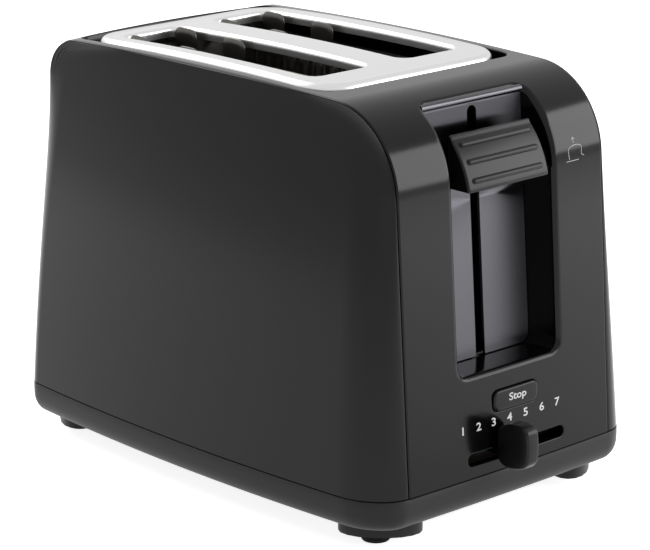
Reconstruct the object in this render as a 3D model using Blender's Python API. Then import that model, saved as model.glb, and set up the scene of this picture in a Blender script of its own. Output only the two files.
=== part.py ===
"""A two-slot pop-up toaster with bowed sides, built as separate pieces in their working places at rest.

Sizes are millimetres and become metres when a mesh is made. X runs from the rear (-) to the lever end (+),
Y runs across the two slots and Z up from the floor under the feet. Places are given from the middle of the
body. ORIGIN_SHIFT then puts the world's origin under the middle of the whole toaster, because the browning
slider reaches further out at the front than the cord gland does at the rear.
"""

import math
from collections import namedtuple

import bmesh
import bpy
from mathutils import Vector

MM = 0.001
GAP = 0.3
WALL = 2.4

# The body: an arch between two leaning, bowed ends, with a bowed panel on each side.
End = namedtuple("End", "side reach lean shoulder bow fillet")
LEVER = End(side=1, reach=123.4, lean=0.065, shoulder=38.0, bow=1.0, fillet=22.5)
REAR = End(side=-1, reach=118.8, lean=0.034, shoulder=19.0, bow=6.5, fillet=13.0)
BODY_LOW = 24.6
CROWN_HIGH = 189.2
CROWN_FALL = 0.00022
HOUSING_HALF = 62.1
SIDE_HALF = 85.9
SIDE_BOW = 6.4
SIDE_LEAN = 0.055
SIDE_CURVE = 0.00047
ABOVE = 220.0
BEYOND = 150.0

# The furthest pieces at both ends.
SLIDER_TIP = 142.6
GLAND_FACE = 127.6
ORIGIN_SHIFT = (GLAND_FACE - SLIDER_TIP) / 2

# The top plate, its bread slots and the opening that it covers.
PLATE_MIDDLE = -15.6
PLATE_HALF = (81.0, 55.5)
PLATE_CORNER = 18.6
PLATE_HIGH = 190.7
PLATE_LOW = 184.0
PLATE_SKIN = 0.8
PLATE_FALL = 0.00029
SLOT_MIDDLE = -19.35
SLOT_HALF = (64.1, 17.2)
SLOT_CORNER = 6.0
SLOT_Y = 27.2
OPENING_MIDDLE = -17.0
OPENING_HALF = (84.0, 57.1)
OPENING_CORNER = 8.5

# The lever recess in the control end and the guide plate on its back wall.
RECESS_HALF = 30.5
RECESS_FLOOR = 69.5
RECESS_CORNER = 5.0
GUIDE_TOP = (95.8, 183.0)
GUIDE_FOOT = (103.6, 69.5)
GUIDE_THICK = 1.6
GUIDE_ROLL = 1.5
LEVER_SLOT_HALF = 2.8
LEVER_SLOT_HIGH = 179.0

# The base and what it stands on.
BASE_LOW = 10.2
FLOOR_TOP = 12.6
BASE_HIGH = BODY_LOW - GAP
FOOT_AT = (100.8, 60.0)
BOSS_AT = (102.0, 58.5)
BOSS_HALF = (18.0, 10.0)
BOSS_LOW = 4.0
POST_Y = 53.0
POST_LEVER_X = 57.0
POST_REAR_X = -97.0
POST_RADIUS = 4.2
SCREW_RADIUS = 1.5
TRAY_HALF = 46.0

# The toasting chamber between its two end plates.
SHEET = 0.8
PLATE_LEVER_X = 46.0
PLATE_REAR_X = -86.2
CHAMBER_HALF = 56.0
CHAMBER_HIGH = 181.0
FLANGE_LOW = 25.0
FLANGE_HIGH = FLANGE_LOW + 1.0
SHIELD_Y = 52.0
MICA_Y = 46.0
GUARD_OFFSET = 13.6
GUARD_LOW = 42.0
GUARD_HIGH = 180.0
TAB_MIDDLES = (-74.0, -40.5)
WIRE = 1.6
RACK_LOW = 118.0
RACK_DEEP = 3.0

# The lever and what it carries.
KNOB_HALF = 24.4
KNOB_BACK = 106.4
KNOB_LOW = 148.6
KNOB_HIGH = 171.5
CARRIAGE_X = PLATE_LEVER_X + 6
ROD_AT = (66.0, 14.0)
ROD_RADIUS = 2.5
SPRING_AT = (62.0, -16.0)
SPRING_LOW = 152.0
SPRING_HIGH = 176.0
ARMATURE_HIGH = 132.7

# The controls and the board behind them.
BUTTON_AT = (1.9, 55.3)
BUTTON_HALF = (13.5, 4.55)
BUTTON_CORNER = 3.0
BUTTON_FACE = 123.4
TRACK_AT = (2.35, 32.8)
TRACK_HALF = (29.85, 2.6)
SLIDER_Y = -7.2
BOARD_X = 104.0
BOARD_THICK = 1.6
CONTROL_X = BOARD_X + BOARD_THICK + GAP
CONTROL_FACE = 112.0

# The cord gland.
GLAND_AT = (34.0, 44.0)
GLAND_NECK = 7.2
GLAND_HEAD = 9.6
GLAND_WALL_FACE = 124.4


def polar(centre, radius, degrees):
    """The point at a radius and an angle from a centre, in two dimensions."""
    angle = math.radians(degrees)
    return (centre[0] + radius * math.cos(angle), centre[1] + radius * math.sin(angle))


def arc(centre, radius, start, end, steps):
    """Points along a round arc, both ends included, with angles in degrees."""
    return [polar(centre, radius, start + (end - start) * step / steps) for step in range(steps + 1)]


def circle(centre, radius, steps):
    """Points all the way round, without a second one at the start."""
    return arc(centre, radius, 0, 360 - 360 / steps, steps - 1)


def round_rect(centre, half, radius, steps=4):
    """The outline of a rectangle with round corners."""
    outline = []
    for turn, (side_a, side_b) in enumerate(((1, 1), (-1, 1), (-1, -1), (1, -1))):
        corner = (
            centre[0] + side_a * (half[0] - radius),
            centre[1] + side_b * (half[1] - radius),
        )
        outline += arc(corner, radius, 90 * turn, 90 * turn + 90, steps)
    return outline


def bulge(start, end, height, steps):
    """An arc from one point to another that stands out from the straight line by a height."""
    chord = math.dist(start, end)
    radius = (chord**2 / 4 + height**2) / (2 * height)
    middle = Vector(((start[0] + end[0]) / 2, (start[1] + end[1]) / 2))
    along = Vector((end[0] - start[0], end[1] - start[1])).normalized()
    out = Vector((-along.y, along.x))
    centre = middle - out * (radius - height)
    first = math.degrees(math.atan2(start[1] - centre.y, start[0] - centre.x))
    last = math.degrees(math.atan2(end[1] - centre.y, end[0] - centre.x))
    return arc(centre, radius, first, last, steps)


def placed(point, axis, along):
    """A two-dimensional point set square to an axis, at a distance along it."""
    first, second = point
    return {"X": (along, first, second), "Y": (first, along, second), "Z": (first, second, along)}[axis]


def skin(shell, low, high, closed=True):
    """Faces between two rows of corners of one length."""
    for index in range(len(low) if closed else len(low) - 1):
        after = (index + 1) % len(low)
        shell.faces.new((low[index], low[after], high[after], high[index]))


def loft(rings):
    """A solid through rings of points of one length, closed by a flat face at each end."""
    shell = bmesh.new()
    loops = [[shell.verts.new(point) for point in ring] for ring in rings]
    for low, high in zip(loops, loops[1:]):
        skin(shell, low, high)
    shell.faces.new(loops[0])
    shell.faces.new(loops[-1][::-1])
    return shell


def prism(outline, axis, low, high):
    """A solid with one outline all the way along an axis."""
    return loft([[placed(point, axis, along) for point in outline] for along in (low, high)])


def box(low, high):
    """A solid box between two corners."""
    outline = [(low[0], low[1]), (high[0], low[1]), (high[0], high[1]), (low[0], high[1])]
    return prism(outline, "Z", low[2], high[2])


def rod(centre, radius, axis, low, high, steps=16):
    """A round bar along an axis."""
    return prism(circle(centre, radius, steps), axis, low, high)


def lattice(axis, low, high, spans, bars):
    """A flat net of bars square to an axis. Each bar is a range that runs the whole of the other direction."""
    breaks = [sorted({*span, *(edge for bar in side for edge in bar)}) for span, side in zip(spans, bars)]
    shell = bmesh.new()
    corners = {}

    def corner(first, second, level):
        key = (first, second, level)
        if key not in corners:
            point = (breaks[0][first], breaks[1][second])
            corners[key] = shell.verts.new(placed(point, axis, (low, high)[level]))
        return corners[key]

    def covered(side, index):
        middle = (breaks[side][index] + breaks[side][index + 1]) / 2
        return any(start < middle < end for start, end in bars[side])

    def is_bar(first, second):
        if not (0 <= first < len(breaks[0]) - 1 and 0 <= second < len(breaks[1]) - 1):
            return False
        return covered(0, first) or covered(1, second)

    for first in range(len(breaks[0]) - 1):
        for second in range(len(breaks[1]) - 1):
            if not is_bar(first, second):
                continue
            square = [(first, second), (first + 1, second), (first + 1, second + 1), (first, second + 1)]
            beside = [(first, second - 1), (first + 1, second), (first, second + 1), (first - 1, second)]
            for level in (0, 1):
                shell.faces.new([corner(a, b, level) for a, b in square])
            for edge, neighbour in enumerate(beside):
                if is_bar(*neighbour):
                    continue
                start, end = square[edge], square[(edge + 1) % 4]
                shell.faces.new(
                    (corner(*start, 0), corner(*end, 0), corner(*end, 1), corner(*start, 1))
                )
    return shell


def material(name, colour, roughness, metallic=0.0):
    """A plain material for one kind of stuff."""
    made = bpy.data.materials.new(name)
    made.use_nodes = True
    shader = made.node_tree.nodes["Principled BSDF"]
    shader.inputs["Base Color"].default_value = (*colour, 1.0)
    shader.inputs["Roughness"].default_value = roughness
    shader.inputs["Metallic"].default_value = metallic
    made.diffuse_color = (*colour, 1.0)
    return made


def piece(name, shell, finish, origin=(0, 0, 0)):
    """A named object from a shape in millimetres. Its own origin is the place given."""
    start = Vector(origin)
    for vertex in shell.verts:
        vertex.co = (vertex.co - start) * MM
    mesh = bpy.data.meshes.new(name)
    shell.to_mesh(mesh)
    shell.free()
    mesh.materials.append(finish)
    obj = bpy.data.objects.new(name, mesh)
    obj.location = (start + Vector((ORIGIN_SHIFT, 0, 0))) * MM
    bpy.context.scene.collection.objects.link(obj)
    return obj


def solid(name, shell, finish, origin=(0, 0, 0)):
    """A piece from a closed shape, with its faces turned outwards."""
    bmesh.ops.recalc_face_normals(shell, faces=shell.faces)
    return piece(name, shell, finish, origin)


def hide(obj):
    """Makes an object a helper that only shapes other pieces."""
    obj.hide_render = True
    obj.display_type = "WIRE"
    return obj


def change(target, shell, operation):
    """Cuts, joins or keeps what two shapes share, with a hidden helper as the second shape."""
    helper = hide(solid(f"helper_{len(bpy.data.objects)}", shell, target.data.materials[0]))
    modifier = target.modifiers.new(operation.lower(), "BOOLEAN")
    modifier.operation = operation
    modifier.object = helper
    return helper


def cut(target, shell):
    """Takes a shape away from a piece."""
    return change(target, shell, "DIFFERENCE")


def join(target, shell):
    """Adds a shape to a piece, as one solid."""
    return change(target, shell, "UNION")


def round_edges(target, width, segments=2):
    """Rounds the sharp edges of an object."""
    modifier = target.modifiers.new("round", "BEVEL")
    modifier.width = width * MM
    modifier.segments = segments
    modifier.limit_method = "ANGLE"
    modifier.angle_limit = math.radians(40)


def crown(x):
    """The height of the arch's top, which falls away from the middle as the square of the distance."""
    return CROWN_HIGH - CROWN_FALL * x * x


def shoulder_centre(end):
    """The centre of an end's shoulder, an arc that meets the leaning end and the crown at a tangent."""
    slant = math.hypot(1, end.lean)
    x_meet = end.reach - end.shoulder
    for _ in range(12):
        slope = 2 * CROWN_FALL * x_meet
        length = math.hypot(1, slope)
        x = x_meet - end.shoulder * slope / length
        z = crown(x_meet) - end.shoulder / length
        from_end = (end.reach - x - end.lean * (z - BODY_LOW)) / slant
        x_meet += from_end - end.shoulder
    return (x, z), x_meet


def end_outline(end, inset, low, end_steps=3, arc_steps=8):
    """One end in X and Z, moved inwards: a straight part from its foot, then the shoulder up to the crown."""
    centre, x_meet = shoulder_centre(end)
    start = math.degrees(math.atan(end.lean))
    finish = math.degrees(math.atan2(1, 2 * CROWN_FALL * x_meet))
    shoulder = arc(centre, end.shoulder - inset, start, finish, arc_steps)
    foot = end.reach - inset * math.hypot(1, end.lean) - end.lean * (low - BODY_LOW)
    first_x, first_z = shoulder[0]
    straight = []
    for step in range(end_steps):
        share = step / end_steps
        straight.append((foot + (first_x - foot) * share, low + (first_z - low) * share))
    return [(end.side * x, z) for x, z in straight + shoulder]


def arch(insets, low, crown_steps=8):
    """The arch in X and Z from the lever end's foot over the top to the rear's, moved inwards. There is one
    inset for each end, and along the crown one passes evenly into the other."""
    lever = end_outline(LEVER, insets[0], low)
    rear = end_outline(REAR, insets[1], low)[::-1]
    top = []
    for step in range(1, crown_steps):
        share = step / crown_steps
        x = lever[-1][0] + (rear[0][0] - lever[-1][0]) * share
        top.append((x, crown(x) - insets[0] - (insets[1] - insets[0]) * share))
    return lever + top + rear


def bowed(x, y):
    """A point of the arch pushed out by the bow of its end, which is widest on the middle line."""
    end = LEVER if x > 0 else REAR
    return x * (1 + end.bow / end.reach * (1 - (y / HOUSING_HALF) ** 2))


def arch_solid(inset, low, stations):
    """The arch as a solid block, with the ends bowed, through stations along Y."""
    outline = arch((inset, inset), low)
    return loft([[(bowed(x, y), y, z) for x, z in outline] for y in stations])


def side_reach(x, z):
    """How far a side panel's face stands from the middle: bowed along the body, and leaning in with height."""
    rise = z - BODY_LOW
    return SIDE_HALF - SIDE_BOW * (x / LEVER.reach) ** 2 - SIDE_LEAN * rise - SIDE_CURVE * rise**2


def end_plan(end, end_steps=3, corner_steps=5):
    """Half of an end in X and Y where the body meets the base, from the middle line round the corner."""
    points = []
    for step in range(end_steps):
        y = HOUSING_HALF * step / end_steps
        points.append((bowed(end.side * end.reach, y), y))
    for step in range(corner_steps + 1):
        angle = math.pi / 2 * step / corner_steps
        x = end.side * (end.reach - end.fillet * (1 - math.cos(angle)))
        reach = side_reach(x, BODY_LOW) - HOUSING_HALF
        points.append((x, HOUSING_HALF + reach * math.sin(angle)))
    return points


def body_plan(side_steps=6):
    """The body's outline in X and Y where it meets the base, anticlockwise from the lever end."""
    lever, rear = end_plan(LEVER), end_plan(REAR)[::-1]
    side = []
    for step in range(1, side_steps):
        x = lever[-1][0] + (rear[0][0] - lever[-1][0]) * step / side_steps
        side.append((x, side_reach(x, BODY_LOW)))
    half = lever + side + rear
    return half + [(x, -y) for x, y in half[::-1][1:-1]]


def inset_plan(outline, distance):
    """An outline moved inwards, square to the line between each point's neighbours."""
    moved = []
    for index, (x, y) in enumerate(outline):
        before, after = outline[index - 1], outline[(index + 1) % len(outline)]
        along = Vector((after[0] - before[0], after[1] - before[1])).normalized()
        moved.append((x - along.y * distance, y + along.x * distance))
    return moved


def recess_wall(z):
    """Where the face of the guide plate on the recess's back wall stands."""
    slope = (GUIDE_FOOT[0] - GUIDE_TOP[0]) / (GUIDE_TOP[1] - GUIDE_FOOT[1])
    return GUIDE_TOP[0] + (GUIDE_TOP[1] - z) * slope


def recess_block(grow, behind, end, high):
    """A block with the recess's outline and slanted back, grown to make its walls."""
    half = RECESS_HALF + grow
    corner = RECESS_CORNER + grow
    low = RECESS_FLOOR - grow
    outline = arc((-half + corner, low + corner), corner, 180, 270, 4)
    outline += arc((half - corner, low + corner), corner, 270, 360, 4)
    outline += [(half, high), (-half, high)]
    back = [(recess_wall(z) - behind, y, z) for y, z in outline]
    return loft([back, [(end, y, z) for y, z in outline]])


def make_housing(black):
    """The arched shell: moulded in one piece with the recess, open below, at the sides and over the slots."""
    inner = (-46, -RECESS_HALF, -14, 0, 14, RECESS_HALF, 46)
    edge, past = HOUSING_HALF - GAP / 2, HOUSING_HALF + 5
    stations, wide = (-edge, *inner, edge), (-past, *inner, past)
    housing = solid("housing", arch_solid(0, BODY_LOW, stations), black)
    cut(housing, arch_solid(WALL, BODY_LOW - 10, wide))
    behind = GUIDE_THICK + GAP
    pocket = join(housing, recess_block(WALL, behind + WALL, 140, 210))
    limits = pocket.modifiers.new("inside the arch", "BOOLEAN")
    limits.operation = "INTERSECT"
    limits.object = hide(solid("helper_limit", arch_solid(0, BODY_LOW, stations), black))
    cut(housing, recess_block(0, behind, BEYOND, ABOVE))
    stem_half = LEVER_SLOT_HALF + 0.6
    cut(housing, box((80, -stem_half, 70.2), (110, stem_half, LEVER_SLOT_HIGH + 1.6)))
    opening = round_rect((OPENING_MIDDLE, 0), OPENING_HALF, OPENING_CORNER)
    cut(housing, prism(opening, "Z", 170, 200))
    button = round_rect(
        BUTTON_AT, (BUTTON_HALF[0] + GAP, BUTTON_HALF[1] + GAP), BUTTON_CORNER + GAP
    )
    cut(housing, prism(button, "X", 105, 140))
    cut(housing, prism(round_rect(TRACK_AT, TRACK_HALF, TRACK_HALF[1] - 0.01), "X", 105, 140))
    cut(housing, rod(GLAND_AT, GLAND_NECK + GAP, "X", -140, -105))


def blend_patch(left, right, top, bottom):
    """Rows of points that fill the space between four edges, as a Coons patch."""
    wide = top[-1][0] - top[0][0]
    tall = left[-1][1] - left[0][1]
    rows = []
    for index in range(len(left)):
        up = (left[index][1] - left[0][1]) / tall
        row = []
        for step in range(len(top)):
            across = (top[step][0] - top[0][0]) / wide
            point = [
                (1 - up) * bottom[step][k]
                + up * top[step][k]
                + (1 - across) * left[index][k]
                + across * right[index][k]
                - (1 - across) * (1 - up) * bottom[0][k]
                - across * (1 - up) * bottom[-1][k]
                - (1 - across) * up * top[0][k]
                - across * up * top[-1][k]
                for k in (0, 1)
            ]
            row.append(tuple(point))
        rows.append(row)
    return rows


def panel_face(rim, low):
    """The face inside a panel's rounded margin, as rows of (x, z) with the rim's points as its outer edge."""
    turn = 3 + 4
    left, top, right = rim[: turn + 1], rim[turn : len(rim) - turn], rim[len(rim) - turn - 1 :][::-1]
    span = top[-1][0] - top[0][0]
    wide = right[0][0] - left[0][0]
    bottom = [(left[0][0] + wide * (x - top[0][0]) / span, low) for x, _ in top]
    return blend_patch(left, right, top, bottom), turn


def make_side_panel(name, side, black):
    """A bowed side, rounded over all along the arch's edge, moulded 2.4 mm thick."""
    spare = 2.0
    low = BODY_LOW + GAP - spare
    seam = HOUSING_HALF + GAP / 2
    round_steps = 4
    shell = bmesh.new()

    def vertex(x, z, angle):
        reach = side_reach(x, z) - seam
        return shell.verts.new((x, side * (seam + reach * math.sin(angle)), z))

    rows = [[shell.verts.new((x, side * (seam - spare), z)) for x, z in arch((0, 0), low)[::-1]]]
    for step in range(round_steps + 1):
        angle = math.pi / 2 * step / round_steps
        share = 1 - math.cos(angle)
        line = arch((LEVER.fillet * share, REAR.fillet * share), low)[::-1]
        rows.append([vertex(x, z, angle) for x, z in line])
    rim = rows[-1]
    patch, turn = panel_face(line, low)
    grid = []
    for index, row in enumerate(patch[:-1]):
        middle = [vertex(x, z, math.pi / 2) for x, z in row[1:-1]]
        grid.append([rim[index], *middle, rim[len(rim) - 1 - index]])
    grid.append(rim[turn : len(rim) - turn])
    for sheet in (rows[::-1], grid):
        for under, over in zip(sheet, sheet[1:]):
            skin(shell, *((under, over) if side < 0 else (over, under)), closed=False)
    panel = piece(name, shell, black)
    thickness = panel.modifiers.new("thickness", "SOLIDIFY")
    thickness.thickness = WALL * MM
    thickness.offset = -1
    thickness.use_even_offset = True
    trim = seam + 0.02
    cut(panel, box((-BEYOND, -trim, 0), (BEYOND, trim, ABOVE)))
    cut(panel, box((-BEYOND, -100, 0), (BEYOND, 100, BODY_LOW + GAP)))
    # The exact solver drops this thin, strongly curved shell.
    for modifier in panel.modifiers[1:]:
        modifier.solver = "MANIFOLD"


def foot_lens(side_x, side_y):
    """The outline of the boss over a foot: a long ellipse set across the corner."""
    turn = math.radians(45 * side_x * side_y)
    outline = []
    for along, across in circle((0, 0), 1, 18):
        along, across = BOSS_HALF[0] * along, BOSS_HALF[1] * across
        x = BOSS_AT[0] * side_x - across * math.cos(turn) - along * math.sin(turn)
        y = BOSS_AT[1] * side_y - across * math.sin(turn) + along * math.cos(turn)
        outline.append((x, y))
    return outline


def make_base(black):
    """The tub under the body: a rounded floor, four foot bosses, screw posts, vents and the tray's mouth."""
    profile = (
        (6.0, BASE_LOW),
        (3.0, 12.0),
        (0.8, 15.0),
        (0.0, 19.0),
        (0.0, BASE_HIGH),
        (WALL, BASE_HIGH),
        (WALL, 19.0),
        (WALL + 0.8, 15.4),
        (WALL + 3.2, FLOOR_TOP),
    )
    plan = body_plan()
    rings = [[(x, y, z) for x, y in inset_plan(plan, inset)] for inset, z in profile]
    base = solid("base", loft(rings), black)
    for side_x in (-1, 1):
        for side_y in (-1, 1):
            join(base, prism(foot_lens(side_x, side_y), "Z", BOSS_LOW, FLOOR_TOP - 1))
    for x in (POST_LEVER_X, POST_REAR_X):
        for y in (-POST_Y, POST_Y):
            join(base, rod((x, y), POST_RADIUS, "Z", FLOOR_TOP - 1, FLANGE_LOW - GAP, 12))
            cut(base, rod((x, y), SCREW_RADIUS + 0.4, "Z", FLOOR_TOP + 2.4, 40, 8))
    mouth = TRAY_HALF + 0.5
    cut(base, box((-140, -mouth, FLOOR_TOP), (-100, mouth, 23)))
    vent_y, vent_half, vent_wide = 61, 9, 4
    for side_y in (-1, 1):
        for slot in range(6):
            x, y = -60 + 20 * slot, side_y * vent_y
            cut(base, box((x, y - vent_half, 5), (x + vent_wide, y + vent_half, 20)))


def make_feet(rubber):
    """Four round feet, pressed up against their bosses."""
    profile = ((5.7, 0), (6.3, 0.8), (6.3, BOSS_LOW - GAP))
    for end_name, side_x in (("rear", -1), ("lever", 1)):
        for side_name, side_y in (("left", -1), ("right", 1)):
            centre = (FOOT_AT[0] * side_x, FOOT_AT[1] * side_y)
            rings = [[placed(p, "Z", z) for p in circle(centre, radius, 24)] for radius, z in profile]
            solid(f"foot_{end_name}_{side_name}", loft(rings), rubber)


def flat_plate(steel):
    """The top plate before it is bent: a rolled outer edge with a short skirt, and a flat sheet inside it."""
    profile = (
        (0, PLATE_LOW),
        (0, 188.8),
        (0.6, 190.0),
        (1.5, 190.5),
        (2.6, PLATE_HIGH),
        (3.0, PLATE_HIGH - PLATE_SKIN),
        (PLATE_SKIN, 188.6),
        (PLATE_SKIN, PLATE_LOW),
    )
    sheet_top, sheet_under = 4, 5
    shell = bmesh.new()
    loops = []
    for inset, z in profile:
        half = (PLATE_HALF[0] - inset, PLATE_HALF[1] - inset)
        outline = round_rect((PLATE_MIDDLE, 0), half, PLATE_CORNER - inset, 6)
        loops.append([shell.verts.new((x, y, z)) for x, y in outline])
    for index, high in enumerate(loops):
        if index != sheet_under:
            skin(shell, loops[index - 1], high)
    shell.faces.new(loops[sheet_top])
    shell.faces.new(loops[sheet_under][::-1])
    return solid("flat_top_plate", shell, steel)


def make_top_plate(steel):
    """The pressed plate with a collar under each slot, bent to follow the crown."""
    plate = flat_plate(steel)
    for side in (-1, 1):
        centre = (SLOT_MIDDLE, side * SLOT_Y)
        outer = (SLOT_HALF[0] + PLATE_SKIN, SLOT_HALF[1] + PLATE_SKIN)
        collar = round_rect(centre, outer, SLOT_CORNER + PLATE_SKIN)
        join(plate, prism(collar, "Z", PLATE_LOW - 0.5, PLATE_HIGH - 0.4))
        cut(plate, prism(round_rect(centre, SLOT_HALF, SLOT_CORNER), "Z", 150, ABOVE))
    bend_to_crown(plate)


def bend_to_crown(flat):
    """Makes the finished top plate from the flat one: cut across every 15 mm, then let down at both ends."""
    graph = bpy.context.evaluated_depsgraph_get()
    mesh = bpy.data.meshes.new_from_object(flat.evaluated_get(graph))
    shell = bmesh.new()
    shell.from_mesh(mesh)
    for step in range(-6, 5):
        bmesh.ops.bisect_plane(
            shell,
            geom=[*shell.verts, *shell.edges, *shell.faces],
            plane_co=((15 * step + ORIGIN_SHIFT) * MM - flat.location.x, 0, 0),
            plane_no=(1, 0, 0),
            dist=1e-7,
        )
    for vertex in shell.verts:
        vertex.co /= MM
        vertex.co.z -= PLATE_FALL * vertex.co.x**2
    hide(flat)
    solid("top_plate", shell, flat.data.materials[0])


def make_lever_guide(steel):
    """The plate on the recess's back wall: split from the bottom by the lever's slot, with a rolled top edge."""
    half, low, corner = RECESS_HALF - GAP, RECESS_FLOOR + GAP, RECESS_CORNER - GAP
    high = GUIDE_TOP[1] - GUIDE_ROLL
    slot = LEVER_SLOT_HALF
    outline = [(half, high), (-half, high)]
    outline += arc((-half + corner, low + corner), corner, 180, 270, 4)
    outline += [(-slot, low), *arc((0, LEVER_SLOT_HIGH - slot), slot, 180, 0, 6), (slot, low)]
    outline += arc((half - corner, low + corner), corner, 270, 360, 4)
    rings = [[(recess_wall(z) - behind, y, z) for y, z in outline] for behind in (GUIDE_THICK, 0)]
    guide = solid("lever_guide", loft(rings), steel)
    join(guide, rod((recess_wall(high) - 0.3, high + 0.4), GUIDE_ROLL, "Y", -half, half, 12))


def make_lever_knob(black):
    """The thumb piece: a curved face with three raised ribs."""
    top, foot = (107.6, KNOB_HIGH - 0.8), (119.2, KNOB_LOW + 0.8)
    face = bulge(top, foot, 1.8, 6)
    outline = [(KNOB_BACK, KNOB_LOW), (foot[0] - 0.8, KNOB_LOW), *face[::-1]]
    outline += [(top[0] - 0.8, KNOB_HIGH), (KNOB_BACK, KNOB_HIGH)]
    knob = solid("lever_knob", prism(outline, "Y", -KNOB_HALF, KNOB_HALF), black, (110, 0, KNOB_LOW))
    rib_half, rib_radius = KNOB_HALF - 2.9, 1.4
    for rib in (1, 3, 5):
        x, z = face[rib]
        join(knob, rod((x - 0.6, z), rib_radius, "Y", -rib_half, rib_half, 10))


def make_carriage(steel):
    """The plate that slides on the rod, with its tongues, and the stem and the armature that it carries."""
    x, thick = CARRIAGE_X, 1.2
    root = x + thick / 2
    carriage = solid("carriage", box((x, -34, 116), (x + thick, 34, 128)), steel, (*ROD_AT, 116))
    join(carriage, box((x, -22, 120), (x + thick, 22, 166)))
    join(carriage, box((root, ROD_AT[1] - 5, 124), (ROD_AT[0] + 5, ROD_AT[1] + 5, 164)))
    ledge = SPRING_LOW - GAP
    join(carriage, box((root, SPRING_AT[1] - 4, ledge - 2), (ROD_AT[0] + 1, SPRING_AT[1] + 4, ledge)))
    tongue = ARMATURE_HIGH + GAP
    join(carriage, box((root, -7, tongue), (88, 7, tongue + 1.5)))
    cut(carriage, rod(ROD_AT, ROD_RADIUS + GAP, "Z", 110, 170, 12))
    stem_low, stem_high, stem_half = 153, 165, 1.2
    bar = box((x + thick + GAP, -stem_half, stem_low), (KNOB_BACK - GAP, stem_half, stem_high))
    round_edges(solid("lever_stem", bar, steel, (*ROD_AT, stem_low)), 0.3, 1)
    low = ARMATURE_HIGH - 3
    solid("armature", box((73, -8, low), (87, 8, ARMATURE_HIGH)), steel, (*ROD_AT, low))


def make_carriage_spring(steel):
    """The lifting spring: a wire wound in a helix, here at its shortest."""
    turns, wire, winding, sides, steps = 9, 0.45, 3.4, 5, 10
    rise = (SPRING_HIGH - SPRING_LOW - 2 * wire) / (2 * math.pi * turns)
    rings = []
    for step in range(turns * steps + 1):
        angle = 2 * math.pi * step / steps
        out = Vector((math.cos(angle), math.sin(angle), 0))
        along = Vector((-winding * out.y, winding * out.x, rise)).normalized()
        over = out.cross(along)
        middle = Vector((*SPRING_AT, SPRING_LOW + wire + rise * angle)) + out * winding
        rings.append([middle + out * a + over * b for a, b in circle((0, 0), wire, sides)])
    solid("carriage_spring", loft(rings), steel, (*SPRING_AT, SPRING_HIGH))


def make_racks(steel):
    """The two racks: a spine with cross bars, and an arm through the end plate to the carriage."""
    reach, bar = 8.5, 1.8
    for name, side in (("left", -1), ("right", 1)):
        y = side * SLOT_Y
        bars = [(x, x + bar) for x in range(-76, 43, 17)]
        spans = ((-81.0, CARRIAGE_X - GAP), (y - reach, y + reach))
        net = lattice("Z", RACK_LOW, RACK_LOW + RACK_DEEP, spans, (bars, [(y - 1, y + 1)]))
        solid(f"bread_rack_{name}", net, steel, (*ROD_AT, RACK_LOW))


def end_plate(name, face, flange_end, steel):
    """One upright end of the chamber, with a flange along its foot that is screwed to the base."""
    wall = box((face, -CHAMBER_HALF, FLANGE_LOW), (face + SHEET, CHAMBER_HALF, CHAMBER_HIGH))
    plate = solid(name, wall, steel)
    low_x, high_x = sorted((face + SHEET / 2, flange_end))
    half = CHAMBER_HALF + 1
    join(plate, box((low_x, -half, FLANGE_LOW), (high_x, half, FLANGE_HIGH)))
    post_x = POST_LEVER_X if face > 0 else POST_REAR_X
    for side in (-1, 1):
        cut(plate, rod((post_x, side * POST_Y), SCREW_RADIUS + 0.5, "Z", 20, 30, 8))
    return plate


def make_chamber(steel):
    """The end plates with their flanges, and the reflectors behind the outer elements."""
    lever = end_plate("end_plate_lever", PLATE_LEVER_X, 92, steel)
    root = PLATE_LEVER_X + SHEET / 2
    join(lever, box((root, -50, CHAMBER_HIGH - 1), (72, 50, CHAMBER_HIGH)))
    spring_seat = SPRING_HIGH + GAP
    join(
        lever,
        box((root, SPRING_AT[1] - 4, spring_seat), (66, SPRING_AT[1] + 4, spring_seat + 1.2)),
    )
    travel = 78
    for side in (-1, 1):
        y = side * SLOT_Y
        cut(lever, box((40, y - 2, RACK_LOW - travel), (50, y + 2, RACK_LOW + 8)))
    rear = end_plate("end_plate_rear", PLATE_REAR_X, -112, steel)
    join(rear, box((PLATE_REAR_X - 6, -46, CHAMBER_HIGH - 1), (PLATE_REAR_X + SHEET / 2, 46, CHAMBER_HIGH)))
    start, end = PLATE_REAR_X + SHEET + GAP, PLATE_LEVER_X - GAP
    for name, side in (("left", -1), ("right", 1)):
        low, high = sorted((side * SHIELD_Y, side * (SHIELD_Y + 0.6)))
        solid(f"heat_shield_{name}", box((start, low, 28), (end, high, 178)), steel)


def make_elements(mica):
    """The mica boards that the heating ribbon is wound on, with notches along the top and bottom."""
    start, end = PLATE_REAR_X + SHEET + GAP, PLATE_LEVER_X - GAP
    low, high, thick, notch = 44, 172, 0.8, 3
    for name, y in (("left", -MICA_Y), ("centre", 0), ("right", MICA_Y)):
        board = box((start, y - thick / 2, low), (end, y + thick / 2, high))
        board = solid(f"heating_element_{name}", board, mica)
        for x in range(-75, 40, 20):
            cut(board, box((x, y - 2, low - 4), (x + notch, y + 2, low + notch)))
            cut(board, box((x, y - 2, high - notch), (x + notch, y + 2, high + 8)))


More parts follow.
